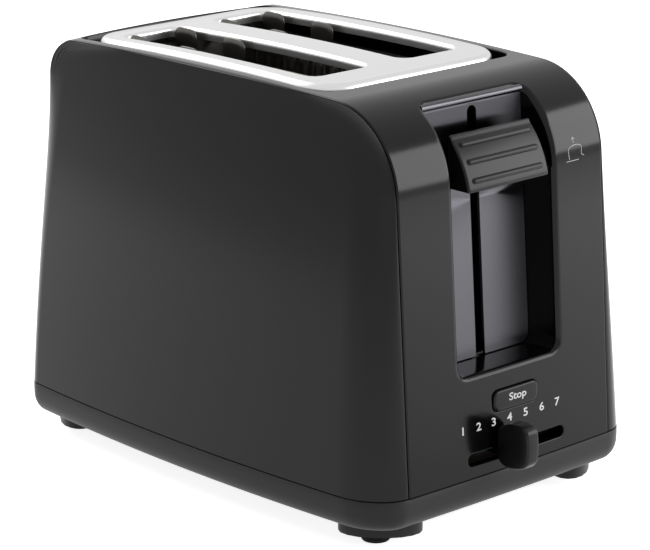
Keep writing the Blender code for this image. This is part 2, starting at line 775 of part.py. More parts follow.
def make_bread_guards(steel):
    """Four wire guards, one on each side of each slot, with two sheet tabs that lead the bread in."""
    start, end = PLATE_REAR_X + SHEET + GAP, PLATE_LEVER_X - GAP
    wires = [(x, x + WIRE) for x in range(-76, 44, 19)]
    rails = [(z, z + WIRE) for z in (GUARD_LOW, 110.0, GUARD_HIGH - WIRE)]
    places = [side * SLOT_Y + offset for side in (-1, 1) for offset in (-GUARD_OFFSET, GUARD_OFFSET)]
    for number, y in enumerate(places, 1):
        spans = ((start, end), (GUARD_LOW, GUARD_HIGH))
        net = lattice("Y", y - WIRE / 2, y + WIRE / 2, spans, (wires, rails))
        guard = solid(f"bread_guard_{number}", net, steel)
        for x in TAB_MIDDLES:
            tab = round_rect((x, GUARD_HIGH + 3.4), (7.5, 5.8), 4.0, 4)
            join(guard, prism(tab, "Y", y - 0.4, y + 0.4))


def make_electrics(copper, board_green, grey, black, steel):
    """The magnet that holds the carriage down, the contacts, the guide rod, and the board with its controls."""
    low = FLANGE_HIGH + GAP
    travel = 72
    magnet = box((74, -9, low), (86, 9, ARMATURE_HIGH - 3 - travel - GAP))
    round_edges(solid("electromagnet", magnet, copper), 1.0, 1)
    solid("contact_block", box((60, -44, low), (88, -24, 36)), grey)
    solid("circuit_board", box((BOARD_X, -40, 14), (BOARD_X + BOARD_THICK, 40, 66)), board_green)
    solid("browning_control", box((CONTROL_X, -30, 28.5), (CONTROL_FACE, 34.5, 37.2)), grey)
    y, z = BUTTON_AT
    switch_half = 3.5
    switch = box(
        (CONTROL_X, y - switch_half, z - switch_half), (CONTROL_FACE, y + switch_half, z + switch_half)
    )
    solid("stop_switch", switch, black)
    solid("guide_rod", rod(ROD_AT, ROD_RADIUS, "Z", low, CHAMBER_HIGH - 1 - GAP), steel)


def make_stop_button(black):
    """The round-cornered button, with a collar that keeps it in and a stem to the switch."""
    front, collar = 118.6, 117.5
    cap = prism(round_rect(BUTTON_AT, BUTTON_HALF, BUTTON_CORNER, 5), "X", front, BUTTON_FACE)
    button = solid("stop_button", cap, black, (BUTTON_FACE, *BUTTON_AT))
    wide = (BUTTON_HALF[0] + 1.6, BUTTON_HALF[1] + 1.6)
    join(button, prism(round_rect(BUTTON_AT, wide, BUTTON_CORNER), "X", collar, collar + 1.7))
    join(button, rod(BUTTON_AT, 1.8, "X", CONTROL_FACE + 2.2, collar + 0.5, 12))


def make_browning_slider(black):
    """The paddle: a round-edged fin outside, a neck through the slot and a plate behind the wall."""
    outline = [(125.4, 31.0), (128.4, 28.2), (134.8, 27.6), (139.6, 29.0)]
    outline += [(141.9, 31.6), (SLIDER_TIP, 38.5), (141.9, 45.4)]
    outline += [(140.0, 47.2), (135.6, 48.0), (130.6, 47.4), (127.6, 46.0), (125.4, 44.0)]
    rings = []
    for y, shrink in ((-3.4, 1.2), (-2.6, 0), (2.6, 0), (3.4, 1.2)):
        ring = []
        for x, z in outline:
            depth = (x - outline[0][0]) / (SLIDER_TIP - outline[0][0])
            spread = 1.45 - 0.45 * depth
            inward = shrink * (z - 38) / 10
            ring.append((x - shrink * depth * 0.5, SLIDER_Y + y * spread, z - inward))
        rings.append(ring)
    place = (SLIDER_Y, TRACK_AT[1])
    slider = solid("browning_slider", loft(rings), black, (SLIDER_TIP, *place))
    neck = (2.5, TRACK_HALF[1] - GAP - 0.5)
    join(slider, prism(round_rect(place, neck, neck[1] - 0.01), "X", CONTROL_FACE + GAP, 127))
    join(slider, prism(round_rect((SLIDER_Y, 33.0), (5.5, 5.0), 1.0), "X", 116.4, 118.4))


def make_crumb_tray(steel):
    """The tray that slides out of the rear: a shallow pan with a bowed finger lip behind."""
    low, wall_high, lip_high = FLOOR_TOP + GAP, 19, 22.6
    rear, front, lip_thick = -120.0, 86.0, 3.0
    tray = box((rear, -TRAY_HALF, low), (front, TRAY_HALF, wall_high))
    tray = solid("crumb_tray", tray, steel, (rear, 0, low))
    inside = TRAY_HALF - SHEET
    cut(tray, box((-115.5, -inside, low + SHEET), (front - SHEET, inside, 30)))
    across = [TRAY_HALF * step / 4 for step in range(-4, 5)]
    outer = [(bowed(-REAR.reach, y) - GAP, y) for y in across]
    inner = [(x + lip_thick, y) for x, y in outer[::-1]]
    join(tray, prism(outer + inner, "Z", low, lip_high))
    finger = circle((outer[4][0] - 1.6, 17.8), 3.2, 24)
    cut(tray, prism(finger, "Y", -24, 24))


def make_cord_gland(black):
    """The gland in the rear wall that a mains cord would leave through."""
    inner = -114.0
    gland = solid("cord_gland", rod(GLAND_AT, GLAND_NECK, "X", -125.6, inner, 24), black)
    join(gland, rod(GLAND_AT, GLAND_HEAD, "X", -GLAND_FACE, -GLAND_WALL_FACE, 24))
    join(gland, rod(GLAND_AT, 9.0, "X", inner - 3, inner, 24))
    cut(gland, rod(GLAND_AT, 3.3, "X", -135, -105, 16))


def make_screws(steel):
    """The four screws that hold the chamber's flanges to the posts of the base."""
    low = FLANGE_HIGH + GAP
    profile = ((SCREW_RADIUS, 16.0), (SCREW_RADIUS, low), (3.5, low), (3.5, low + 1.2), (2.4, low + 2.0))
    places = [(x, y) for x in (POST_LEVER_X, POST_REAR_X) for y in (-POST_Y, POST_Y)]
    for number, place in enumerate(places, 1):
        rings = [[placed(p, "Z", z) for p in circle(place, radius, 12)] for radius, z in profile]
        solid(f"screw_{number}", loft(rings), steel)


def main():
    for obj in list(bpy.data.objects):
        bpy.data.objects.remove(obj, do_unlink=True)
    black = material("black_gloss_plastic", (0.012, 0.012, 0.013), 0.28)
    base_black = material("black_satin_plastic", (0.03, 0.03, 0.032), 0.45)
    grey = material("grey_plastic", (0.25, 0.25, 0.26), 0.4)
    rubber = material("black_rubber", (0.02, 0.02, 0.02), 0.8)
    bright = material("bright_steel", (0.7, 0.7, 0.7), 0.25, 1.0)
    zinc = material("zinc_plated_steel", (0.5, 0.5, 0.48), 0.35, 1.0)
    mica = material("mica_board", (0.55, 0.5, 0.42), 0.6)
    copper = material("wound_copper", (0.6, 0.3, 0.15), 0.4, 1.0)
    green = material("circuit_board_resin", (0.05, 0.2, 0.08), 0.4)

    make_housing(black)
    make_side_panel("side_panel_left", -1, black)
    make_side_panel("side_panel_right", 1, black)
    make_base(base_black)
    make_feet(rubber)
    make_top_plate(bright)
    make_lever_guide(bright)
    make_chamber(zinc)
    make_elements(mica)
    make_bread_guards(zinc)
    make_lever_knob(base_black)
    make_carriage(zinc)
    make_carriage_spring(zinc)
    make_racks(zinc)
    make_electrics(copper, green, grey, black, zinc)
    make_stop_button(black)
    make_browning_slider(base_black)
    make_crumb_tray(zinc)
    make_cord_gland(base_black)
    make_screws(zinc)


main()
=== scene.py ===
import math

import bmesh
import bpy
import numpy as np
from mathutils import Matrix, Vector


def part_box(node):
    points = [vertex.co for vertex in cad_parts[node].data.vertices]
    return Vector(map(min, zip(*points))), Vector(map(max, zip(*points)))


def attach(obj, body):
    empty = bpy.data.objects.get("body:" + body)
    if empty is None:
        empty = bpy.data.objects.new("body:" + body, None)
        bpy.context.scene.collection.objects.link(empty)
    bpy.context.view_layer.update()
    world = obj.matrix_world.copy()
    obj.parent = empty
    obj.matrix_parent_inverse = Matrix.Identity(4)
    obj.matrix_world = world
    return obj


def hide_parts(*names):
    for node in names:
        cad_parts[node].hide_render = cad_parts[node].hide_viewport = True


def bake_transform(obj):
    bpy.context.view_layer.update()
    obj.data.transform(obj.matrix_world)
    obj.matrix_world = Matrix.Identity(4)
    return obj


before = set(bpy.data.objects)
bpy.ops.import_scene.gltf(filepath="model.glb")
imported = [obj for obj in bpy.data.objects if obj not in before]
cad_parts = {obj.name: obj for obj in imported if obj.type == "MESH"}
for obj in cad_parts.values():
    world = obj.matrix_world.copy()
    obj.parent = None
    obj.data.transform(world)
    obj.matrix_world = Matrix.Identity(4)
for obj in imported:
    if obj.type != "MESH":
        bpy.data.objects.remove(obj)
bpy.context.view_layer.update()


# ---- View, light and floor ----
# A plain pale table under soft studio light: a wide softbox above on the left, and a second one low behind the
# right shoulder. The camera and reflections see a white surround at a strength of 1. The table looks brighter
# than that to them, because it has the lamps' light and a glow as well.

bpy.context.scene.view_settings.view_transform = "Standard"
MM = 0.001
BODY_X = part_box("housing")[1][0] / MM - 124.4


def add_node(tree, kind, inputs=None, **settings):
    """Adds one node. Settings go on the node, and each input takes a value or a link."""
    made = tree.nodes.new(kind)
    for name, value in settings.items():
        setattr(made, name, value)
    for name, value in (inputs or {}).items():
        if isinstance(value, bpy.types.NodeSocket):
            tree.links.new(value, made.inputs[name])
        else:
            made.inputs[name].default_value = value
    return made


def colour(code):
    """An sRGB hex code as linear red, green, blue and alpha."""
    parts = [int(code[place : place + 2], 16) / 255 for place in (1, 3, 5)]
    return (*[c / 12.92 if c <= 0.04045 else ((c + 0.055) / 1.055) ** 2.4 for c in parts], 1.0)


def seen_or_hidden(tree, seen, hidden):
    """Shows one shader to the camera, to reflections and through glass, and another to every other ray."""
    rays = add_node(tree, "ShaderNodeLightPath").outputs
    mirrored = add_node(tree, "ShaderNodeMath", {0: rays["Is Glossy Ray"], 1: rays["Is Transmission Ray"]})
    shown = add_node(tree, "ShaderNodeMath", {0: mirrored.outputs[0], 1: rays["Is Camera Ray"]})
    return add_node(
        tree, "ShaderNodeMixShader", {0: shown.outputs[0], 1: hidden.outputs[0], 2: seen.outputs[0]}
    )


def aimed(name, data, azimuth, elevation, distance, target, roll=0.0):
    """An object that looks at a target from an azimuth, measured from -Y towards +X, and an elevation."""
    turn, tilt = math.radians(azimuth), math.radians(elevation)
    back = Vector((math.sin(turn) * math.cos(tilt), -math.cos(turn) * math.cos(tilt), math.sin(tilt)))
    right = Matrix.Rotation(math.radians(roll), 3, back) @ Vector((math.cos(turn), math.sin(turn), 0))
    up = back.cross(right)
    place = Matrix((right, up, back)).transposed().to_4x4()
    place.translation = Vector(target) + back * distance
    made = bpy.data.objects.new(name, data)
    made.matrix_world = place
    bpy.context.scene.collection.objects.link(made)
    return made


camera = bpy.data.cameras.new("camera")
camera.sensor_width = 36.0
camera.lens = 161.1
camera.clip_start = 0.05
TARGET = ((BODY_X + 13.41) * MM, -7.83 * MM, 88.08 * MM)
bpy.context.scene.camera = aimed("camera", camera, 47.05, 16.27, 1.310, TARGET, -0.137)

for lamp_name, width, height, watts, azimuth, elevation, distance in (
    ("softbox_over", 1.4, 1.0, 18.0, -78, 43, 1.7),
    ("softbox_shoulder", 0.8, 0.6, 7.8, 131, 19, 1.0),
):
    lamp = bpy.data.lights.new(lamp_name, "AREA")
    lamp.shape = "RECTANGLE"
    lamp.size = width
    lamp.size_y = height
    lamp.energy = watts
    aimed(lamp_name, lamp, azimuth, elevation, distance, TARGET)

ROOM_LIGHT, SURROUND_SEEN, TABLE_GLOW = 0.32, 1.0, 0.86
world = bpy.data.worlds.new("surround")
bpy.context.scene.world = world
world.use_nodes = True
tree = world.node_tree
tree.nodes.clear()
room = add_node(tree, "ShaderNodeBackground", {"Color": (1, 1, 1, 1), "Strength": ROOM_LIGHT})
white = add_node(tree, "ShaderNodeBackground", {"Color": (1, 1, 1, 1), "Strength": SURROUND_SEEN})
surround = seen_or_hidden(tree, white, room)
add_node(tree, "ShaderNodeOutputWorld", {"Surface": surround.outputs[0]})

table_mesh = bpy.data.meshes.new("table")
table_mesh.from_pydata([(-6, -6, 0), (6, -6, 0), (6, 6, 0), (-6, 6, 0)], [], [(0, 1, 2, 3)])
table = bpy.data.objects.new("table", table_mesh)
bpy.context.scene.collection.objects.link(table)
# A matt painted board: pale, with no reflection of its own. Only the camera and reflections see its glow, which
# with the lamps' light brings the open board to a strength of about 1.4 to 1.7 there.
paint = bpy.data.materials.new("painted_table")
paint.use_nodes = True
tree = paint.node_tree
tree.nodes.clear()
matt = add_node(tree, "ShaderNodeBsdfDiffuse", {"Color": colour("#a0a0a0")})
pale = add_node(tree, "ShaderNodeBsdfDiffuse", {"Color": colour("#f4f4f4")})
glow = add_node(tree, "ShaderNodeEmission", {"Color": (1, 1, 1, 1), "Strength": TABLE_GLOW})
lit = add_node(tree, "ShaderNodeAddShader", {0: pale.outputs[0], 1: glow.outputs[0]})
tabletop = seen_or_hidden(tree, lit, matt)
add_node(tree, "ShaderNodeOutputMaterial", {"Surface": tabletop.outputs[0]})
table_mesh.materials.append(paint)


# ---- Base ----
# The tub that everything stands on: injection-moulded black polypropylene with a fine satin texture, a
# rounded underside, and a raised lens-shaped boss over each foot.

LEVER, REAR = 1, -1
REACH = {LEVER: 123.4, REAR: 118.8}
BOW = {LEVER: 1.0, REAR: 6.5}
FILLET = {LEVER: 22.5, REAR: 13.0}
SEAM_Z = 24.6
HOUSING_HALF = 62.1
SIDE_HALF, SIDE_BOW, SIDE_LEAN, SIDE_CURVE = 85.9, 6.4, 0.055, 0.00047


def side_reach(x, z):
    """How far the side stands from the middle: a parabola along the body, leaning in faster with height."""
    rise = z - SEAM_Z
    return SIDE_HALF - SIDE_BOW * (x / REACH[LEVER]) ** 2 - SIDE_LEAN * rise - SIDE_CURVE * rise**2


def bowed(x, y):
    """X moved out by the bow of its end, a parabola that is highest on the middle line."""
    bow = np.where(x > 0, BOW[LEVER] / REACH[LEVER], BOW[REAR] / REACH[REAR])
    return x * (1 + bow * (1 - (y / HOUSING_HALF) ** 2))


def end_plan(end):
    """Half of an end's outline at the base: a parabola, then a quarter ellipse round the corner."""
    y = np.linspace(0, HOUSING_HALF, 18)[:-1]
    angle = np.linspace(0, np.pi / 2, 21)
    corner_x = end * (REACH[end] - FILLET[end] * (1 - np.cos(angle)))
    corner_y = HOUSING_HALF + (side_reach(corner_x, SEAM_Z) - HOUSING_HALF) * np.sin(angle)
    middle = np.stack([bowed(end * REACH[end] + 0 * y, y), y], 1)
    return np.concatenate([middle, np.stack([corner_x, corner_y], 1)])


def body_plan(inset):
    """The body's outline where it meets the base, moved inwards square to itself."""
    lever, rear = end_plan(LEVER), end_plan(REAR)[::-1]
    x = np.linspace(lever[-1, 0], rear[0, 0], 51)[1:-1]
    half = np.concatenate([lever, np.stack([x, side_reach(x, SEAM_Z)], 1), rear])
    outline = np.concatenate([half, half[-2:0:-1] * (1, -1)])
    along = np.roll(outline, -1, 0) - np.roll(outline, 1, 0)
    along /= np.linalg.norm(along, axis=1)[:, None]
    return outline + inset * np.stack([-along[:, 1], along[:, 0]], 1)


def grid_faces(rows, columns, closed):
    """Quads of a grid whose points are numbered row by row. A closed grid joins its last column to the first."""
    row = np.arange(rows - 1)[:, None] * columns
    column = np.arange(columns if closed else columns - 1)[None, :]
    after = (column + 1) % columns
    corners = [row + column, row + after, row + columns + after, row + columns + column]
    return np.stack(np.broadcast_arrays(*corners), -1).reshape(-1, 4)


def surface(name, grids, finish, body="chassis", nodes=(), sharp=35, extra=None):
    """One piece from grids of points in millimetres. Each grid is (points, closed, turned), where turned
    swaps the side that faces out. Points that meet are merged, and edges sharper than an angle stay sharp."""
    points, faces, count = [], [], 0
    for grid, closed, turned in grids:
        rows, columns = grid.shape[:2]
        quads = grid_faces(rows, columns, closed)
        points.append(grid.reshape(-1, 3))
        faces.append((quads[:, ::-1] if turned else quads) + count)
        count += rows * columns
    places = (np.concatenate(points) + (BODY_X, 0, 0)) * MM
    mesh = bpy.data.meshes.new(name)
    mesh.from_pydata(places.tolist(), [], np.concatenate(faces).tolist())
    shell = bmesh.new()
    shell.from_mesh(mesh)
    if extra:
        shell.from_mesh(extra)
    bmesh.ops.remove_doubles(shell, verts=shell.verts, dist=2e-6)
    bmesh.ops.dissolve_degenerate(shell, edges=shell.edges, dist=1e-7)
    shell.to_mesh(mesh)
    shell.free()
    mesh.shade_smooth()
    mesh.set_sharp_from_angle(angle=math.radians(sharp))
    mesh.materials.append(finish)
    made = bpy.data.objects.new(name, mesh)
    bpy.context.scene.collection.objects.link(made)
    if body:
        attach(made, body)
    if nodes:
        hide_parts(*nodes)
    return made


def raise_plan(profile):
    """The body's plan carried through a profile of (inset, height) points, one ring for each."""
    rings = [(body_plan(inset), z) for inset, z in profile]
    return np.stack([np.column_stack([ring, np.full(len(ring), z)]) for ring, z in rings])


def plastic(name, code, roughness, grain_mm, depth_mm, coat=0.0, tint=0.06):
    """Injection-moulded plastic: one colour with a faint drift, and the fine grain of the mould as bump."""
    made = bpy.data.materials.new(name)
    made.use_nodes = True
    tree = made.node_tree
    shader = tree.nodes["Principled BSDF"]
    # Below the default 0.5: it weakens what every face made here reflects.
    shader.inputs["Specular IOR Level"].default_value = 0.22
    place = add_node(tree, "ShaderNodeTexCoord").outputs["Object"]
    grain = add_node(
        tree,
        "ShaderNodeTexNoise",
        {"Vector": place, "Scale": 1000 / grain_mm, "Detail": 3.0, "Roughness": 0.6},
    )
    drift = add_node(tree, "ShaderNodeTexNoise", {"Vector": place, "Scale": 30.0, "Detail": 2.0})
    base = colour(code)
    paler = tuple(min(1.0, c * (1 + tint) + 0.0004) for c in base[:3]) + (1.0,)
    mixed = add_node(
        tree, "ShaderNodeMix", {0: drift.outputs[0], 6: base, 7: paler}, data_type="RGBA"
    )
    polish = add_node(
        tree,
        "ShaderNodeMapRange",
        {"Value": drift.outputs[0], "To Min": roughness * 0.94, "To Max": roughness * 1.06},
    )
    bump = add_node(
        tree, "ShaderNodeBump", {"Height": grain.outputs[0], "Strength": 0.6, "Distance": depth_mm * MM}
    )
    tree.links.new(mixed.outputs[2], shader.inputs["Base Color"])
    tree.links.new(polish.outputs[0], shader.inputs["Roughness"])
    tree.links.new(bump.outputs[0], shader.inputs["Normal"])
    shader.inputs["IOR"].default_value = 1.49
    shader.inputs["Coat Weight"].default_value = coat
    return made


# Satin polypropylene looks a shade greyer than the gloss shell, because its texture spreads the light.
satin_polypropylene = plastic("moulded_polypropylene_satin", "#2a2a2c", 0.42, 0.35, 0.012)
under = np.linspace(0, np.pi / 2, 12)
skirt_profile = [(2.4, 24.2), (0.5, 24.3), (0.15, 24.18), (0.0, 23.9), (-0.05, 21.0)]
skirt_profile += list(zip(6.05 - 6.1 * np.cos(under), 19.2 - 9.0 * np.sin(under)))[1:]
skirt = raise_plan(skirt_profile)
tub = bmesh.new()
tub.from_mesh(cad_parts["base"].data)
bmesh.ops.remove_doubles(tub, verts=tub.verts, dist=1e-6)
tub_mesh = bpy.data.meshes.new("tub")
tub.to_mesh(tub_mesh)
tub.free()
surface(
    "base_tub", [(skirt, True, True)], satin_polypropylene, nodes=["base"], extra=tub_mesh
)


def lens_boss(side_x, side_y):
    """An upright lens: a long ellipse set across the corner, with its lower edge rounded over."""
    around = np.linspace(0, 2 * np.pi, 73)[:-1]
    turn = math.radians(45 * side_x * side_y)
    rings = []
    for shrink, z in ((0.0, 13.0), (0.0, 4.9), (0.12, 4.45), (0.42, 4.12), (0.9, 3.98), (9.4, 3.98)):
        along, across = (18.05 - shrink) * np.cos(around), (10.05 - shrink) * np.sin(around)
        x = 102.0 * side_x - across * math.cos(turn) - along * math.sin(turn)
        y = 58.5 * side_y - across * math.sin(turn) + along * math.cos(turn)
        rings.append(np.column_stack([x, y, np.full(72, z)]))
    return np.stack(rings)


corners = [(side_x, side_y) for side_x in (-1, 1) for side_y in (-1, 1)]
surface(
    "foot_bosses",
    [(lens_boss(*corner), True, True) for corner in corners],
    satin_polypropylene,
)


# ---- Feet ----
# Four round rubber feet pressed up into the bosses, with a flat face that stands on the table. Nitrile rubber,
# dull, with a fine moulded grain.


def turned(centre, profile, steps=48):
    """A profile of (radius, height) points turned about an upright axis."""
    around = np.linspace(0, 2 * np.pi, steps + 1)[:-1]
    radius, height = np.array(profile, float).T
    x = centre[0] + radius[:, None] * np.cos(around)
    y = centre[1] + radius[:, None] * np.sin(around)
    return np.stack([x, y, np.broadcast_to(height[:, None], x.shape)], -1)


# Rubber is a flat, matt black with almost no reflection.
nitrile_rubber = plastic("nitrile_rubber", "#161616", 0.75, 0.25, 0.02)
foot_profile = [(0.01, 3.75), (6.0, 3.75), (6.3, 3.6), (6.35, 1.4)]
foot_profile += [(6.2, 0.6), (5.8, 0.15), (5.2, 0.0), (0.01, 0.0)]
for end_name, side_x in (("rear", -1), ("lever", 1)):
    for side_name, side_y in (("left", -1), ("right", 1)):
        name = f"foot_{end_name}_{side_name}"
        surface(
            f"rubber_{name}",
            [(turned((100.8 * side_x, 60.0 * side_y), foot_profile), True, True)],
            nitrile_rubber,
            nodes=[name],
        )


# ---- Housing ----
# The arched shell over both ends and the top rim, one injection moulding in high-gloss black ABS. The mould is
# polished, so it mirrors softly. Every opening has a small rounded lip and a wall behind it.

LEAN = {LEVER: 0.065, REAR: 0.034}
SHOULDER = {LEVER: 38.0, REAR: 19.0}
CROWN_Z, CROWN_FALL = 189.2, 0.00022
FOOT_Z = 24.9
START, RISE, ARC, MEET, CENTRE = {}, {}, {}, {}, {}
for end in (LEVER, REAR):
    radius, slant = SHOULDER[end], math.hypot(1, LEAN[end])
    meet = REACH[end] - radius
    # The shoulder's circle slides along the crown until it also touches the leaning end.
    for _ in range(12):
        slope = 2 * CROWN_FALL * meet
        length = math.hypot(1, slope)
        x, z = meet - radius * slope / length, CROWN_Z - CROWN_FALL * meet**2 - radius / length
        meet += (REACH[end] - x - LEAN[end] * (z - SEAM_Z)) / slant - radius
    START[end] = math.atan(LEAN[end])
    RISE[end] = (z + radius * math.sin(START[end]) - FOOT_Z) * slant
    ARC[end] = radius * (math.atan2(1, 2 * CROWN_FALL * meet) - START[end])
    MEET[end], CENTRE[end] = meet, (x, z)
TOP = RISE[LEVER] + ARC[LEVER] + MEET[LEVER]
WHOLE = TOP + MEET[REAR] + ARC[REAR] + RISE[REAR]


def end_line(end, m):
    """One end of the arch at a length from its foot: a straight leaning part, a round shoulder, then the crown,
    which falls as the square. Gives X, Z and the outward direction."""
    slant = math.hypot(1, LEAN[end])
    foot = REACH[end] - LEAN[end] * (FOOT_Z - SEAM_Z)
    angle = START[end] + (m - RISE[end]) / SHOULDER[end]
    crown_x = np.maximum(MEET[end] - (m - RISE[end] - ARC[end]), 0)
    slope = np.hypot(1, 2 * CROWN_FALL * crown_x)
    crown_z = CROWN_Z - CROWN_FALL * crown_x**2
    zones = [m < RISE[end], m < RISE[end] + ARC[end]]
    shoulder_x = CENTRE[end][0] + SHOULDER[end] * np.cos(angle)
    x = np.select(zones, [foot - m * LEAN[end] / slant, shoulder_x], crown_x)
    z = np.select(zones, [FOOT_Z + m / slant, CENTRE[end][1] + SHOULDER[end] * np.sin(angle)], crown_z)
    out_x = np.select(zones, [1 / slant + 0 * m, np.cos(angle)], 2 * CROWN_FALL * crown_x / slope)
    out_z = np.select(zones, [LEAN[end] / slant + 0 * m, np.sin(angle)], 1 / slope)
    return end * x, z, end * out_x, out_z


def arch(s):
    """The arch and its outward direction at a length along it, from the lever end's foot to the rear's."""
    lever, rear = end_line(LEVER, s), end_line(REAR, WHOLE - s)
    return [np.where(s < TOP, a, b) for a, b in zip(lever, rear)]


def skin(s, y, depth=0.0):
    """The housing's outer face at a length along the arch and a place across it, sunk by a depth."""
    s, y, depth = np.broadcast_arrays(np.asarray(s, float), np.asarray(y, float), np.asarray(depth, float))
    x, z, out_x, out_z = arch(s)
    return np.stack([bowed(x - depth * out_x, y), y, z - depth * out_z], -1)


def rise_to(z):
    """The length along the arch to a height on the lever end's straight part."""
    return (z - FOOT_Z) * math.hypot(1, LEAN[LEVER])


def along_to(x):
    """The length along the arch to a distance along X on the crown or a shoulder."""
    end = LEVER if x > 0 else REAR
    if abs(x) < MEET[end]:
        return TOP - x
    angle = math.acos((abs(x) - CENTRE[end][0]) / SHOULDER[end]) - START[end]
    length = RISE[end] + SHOULDER[end] * angle
    return length if x > 0 else WHOLE - length


def round_loop(centre, half, radius, counts):
    """A rectangle with round corners as points, side after side, each side from the middle of one corner to the
    middle of the next, spaced evenly along it. It starts at the low end of the first axis' far side."""
    points = []
    for turn in range(4):
        span = half[(turn + 1) % 2] - radius
        bend = radius * math.pi / 4
        along = np.linspace(0, 2 * (span + bend), counts[turn] + 1)[:-1]
        start = np.clip(along, 0, bend) / max(radius, 1e-9)
        end = np.clip(along - bend - 2 * span, 0, bend) / max(radius, 1e-9)
        across = half[turn % 2] - radius
        first = -math.pi / 4 + start
        angle = np.where(along < bend + 2 * span, first, end)
        u = across + radius * np.cos(angle)
        v = -span + np.clip(along - bend, 0, 2 * span) + radius * np.sin(angle)
        c, q = math.cos(turn * math.pi / 2), math.sin(turn * math.pi / 2)
        points.append(np.stack([centre[0] + c * u - q * v, centre[1] + q * u + c * v], 1))
    return np.concatenate(points)


def frame_loop(low, high, counts):
    """A plain rectangle as points, in the same order as a round loop."""
    corners = [(high[0], low[1]), (high[0], high[1]), (low[0], high[1]), (low[0], low[1])]
    sides = []
    for turn, count in enumerate(counts):
        start, end = np.array(corners[turn]), np.array(corners[(turn + 1) % 4])
        sides.append(start + (end - start) * (np.arange(count) / count)[:, None])
    return np.concatenate(sides)


def between(outer, inner, rows, ease=1.4):
    """Rings that pass from an outer loop to an inner one, closer together towards the inner one."""
    share = 1 - (1 - np.linspace(0, 1, rows)) ** ease
    return outer[None] + (inner - outer)[None] * share[:, None, None]


def opening(low, high, centre, half, radius, counts, lip, depths, rows=14):
    """A rectangle of the housing with one opening: the face round it, a quarter-round lip and a wall behind."""
    loop = [round_loop(centre, (half[0] + lip, half[1] + lip), radius + lip, counts)]
    face = between(frame_loop(low, high, counts), loop[0], rows)
    rings = [skin(ring[:, 0], ring[:, 1]) for ring in face]
    for angle in np.linspace(0, np.pi / 2, 7)[1:]:
        grow = lip * (1 - math.sin(angle))
        ring = round_loop(centre, (half[0] + grow, half[1] + grow), radius + grow, counts)
        rings.append(skin(ring[:, 0], ring[:, 1], lip * (1 - math.cos(angle))))
    wall = round_loop(centre, half, radius, counts)
    rings += [skin(wall[:, 0], wall[:, 1], depth) for depth in depths]
    return rings


EDGE_ROLL = 0.8
FACE_HALF = HOUSING_HALF - 0.15 - EDGE_ROLL
ACROSS = 64
RECESS_HALF, RECESS_FLOOR, RECESS_CORNER, RECESS_LIP = 30.5, 69.5, 5.0, 2.6
GUIDE_TOP, GUIDE_FOOT = (95.8, 183.0), (103.6, 69.5)


def recess_wall(z):
    """How far along X the face of the insert on the recess's back wall stands at a height."""
    return GUIDE_TOP[0] + (GUIDE_TOP[1] - z) * (GUIDE_FOOT[0] - GUIDE_TOP[0]) / (GUIDE_TOP[1] - GUIDE_FOOT[1])


joints_s = [0.0, rise_to(43.8), rise_to(61.5), along_to(84.0), along_to(-104.5), WHOLE]
steps_s = [10, 10, 72, 100, 64]


def patch(index, centre, half, radius, lip, depths, rows=14):
    low, high = joints_s[index], joints_s[index + 1]
    counts = (ACROSS, steps_s[index], ACROSS, steps_s[index])
    return opening((low, -FACE_HALF), (high, FACE_HALF), centre, half, radius, counts, lip, depths, rows)


track = patch(0, (rise_to(32.8), 2.35), (2.6, 29.85), 2.59, 0.5, (1.5, 2.4, 3.2))
button = patch(1, (rise_to(55.3), 1.9), (4.85, 13.8), 3.3, 0.5, (1.5, 3.0, 4.5))
recess_low, recess_high = rise_to(RECESS_FLOOR), along_to(GUIDE_TOP[0] / float(bowed(1.0, 0.0)))
recess_centre = ((recess_low + recess_high) / 2, 0.0)
recess_half = ((recess_high - recess_low) / 2, RECESS_HALF)
recess = patch(2, recess_centre, recess_half, RECESS_CORNER, RECESS_LIP, (), 22)
lip_end = recess[-1]
back = lip_end.copy()
back[:, 0] = recess_wall(lip_end[:, 2]) - 1.9
recess += [lip_end + (back - lip_end) * share for share in np.linspace(0, 1, 9)[1:]]
plate_low, plate_high = along_to(67.0), along_to(-101.0)
rim = patch(
    3,
    ((plate_low + plate_high) / 2, 0.0),
    ((plate_high - plate_low) / 2, 57.1),
    8.5,
    0.7,
    (2.0, 5.0, 9.0),
)
rear_s = np.linspace(joints_s[4], joints_s[5], steps_s[4] + 1)
across = np.linspace(-FACE_HALF, FACE_HALF, ACROSS + 1)
rear = skin(rear_s[:, None], across[None])
housing_grids = [(np.stack(rings), True, False) for rings in (track, button, recess, rim)]
housing_grids.append((rear, False, False))
edge_s = np.concatenate([np.linspace(a, b, n + 1)[:-1] for a, b, n in zip(joints_s, joints_s[1:], steps_s)])
edge_s = np.append(edge_s, WHOLE)
roll = np.linspace(0, np.pi / 2, 6)
edge_y = np.append(FACE_HALF + EDGE_ROLL * np.sin(roll), FACE_HALF + EDGE_ROLL)
edge_depth = np.append(EDGE_ROLL * (1 - np.cos(roll)), 4.0)
for side in (-1, 1):
    strip = skin(edge_s[:, None], side * edge_y[None], edge_depth[None])
    housing_grids.append((strip, False, side < 0))

# The recess's back wall, with the slot that the lever's stem runs in.
wall_low, wall_high = RECESS_FLOOR, 182.4
slot_centre, slot_half = (125.4, 0.0), (55.2, 3.4)
wall_counts = (40, 60, 40, 60)
wall_rows = between(
    frame_loop((wall_low, -RECESS_HALF), (wall_high, RECESS_HALF), wall_counts),
    round_loop(slot_centre, slot_half, 3.3, wall_counts),
    10,
)
wall = [np.stack([recess_wall(r[:, 0]) - 1.9, r[:, 1], r[:, 0]], 1) for r in wall_rows]
wall.append(wall[-1] - (2.4, 0, 0))
housing_grids.append((np.stack(wall), True, False))

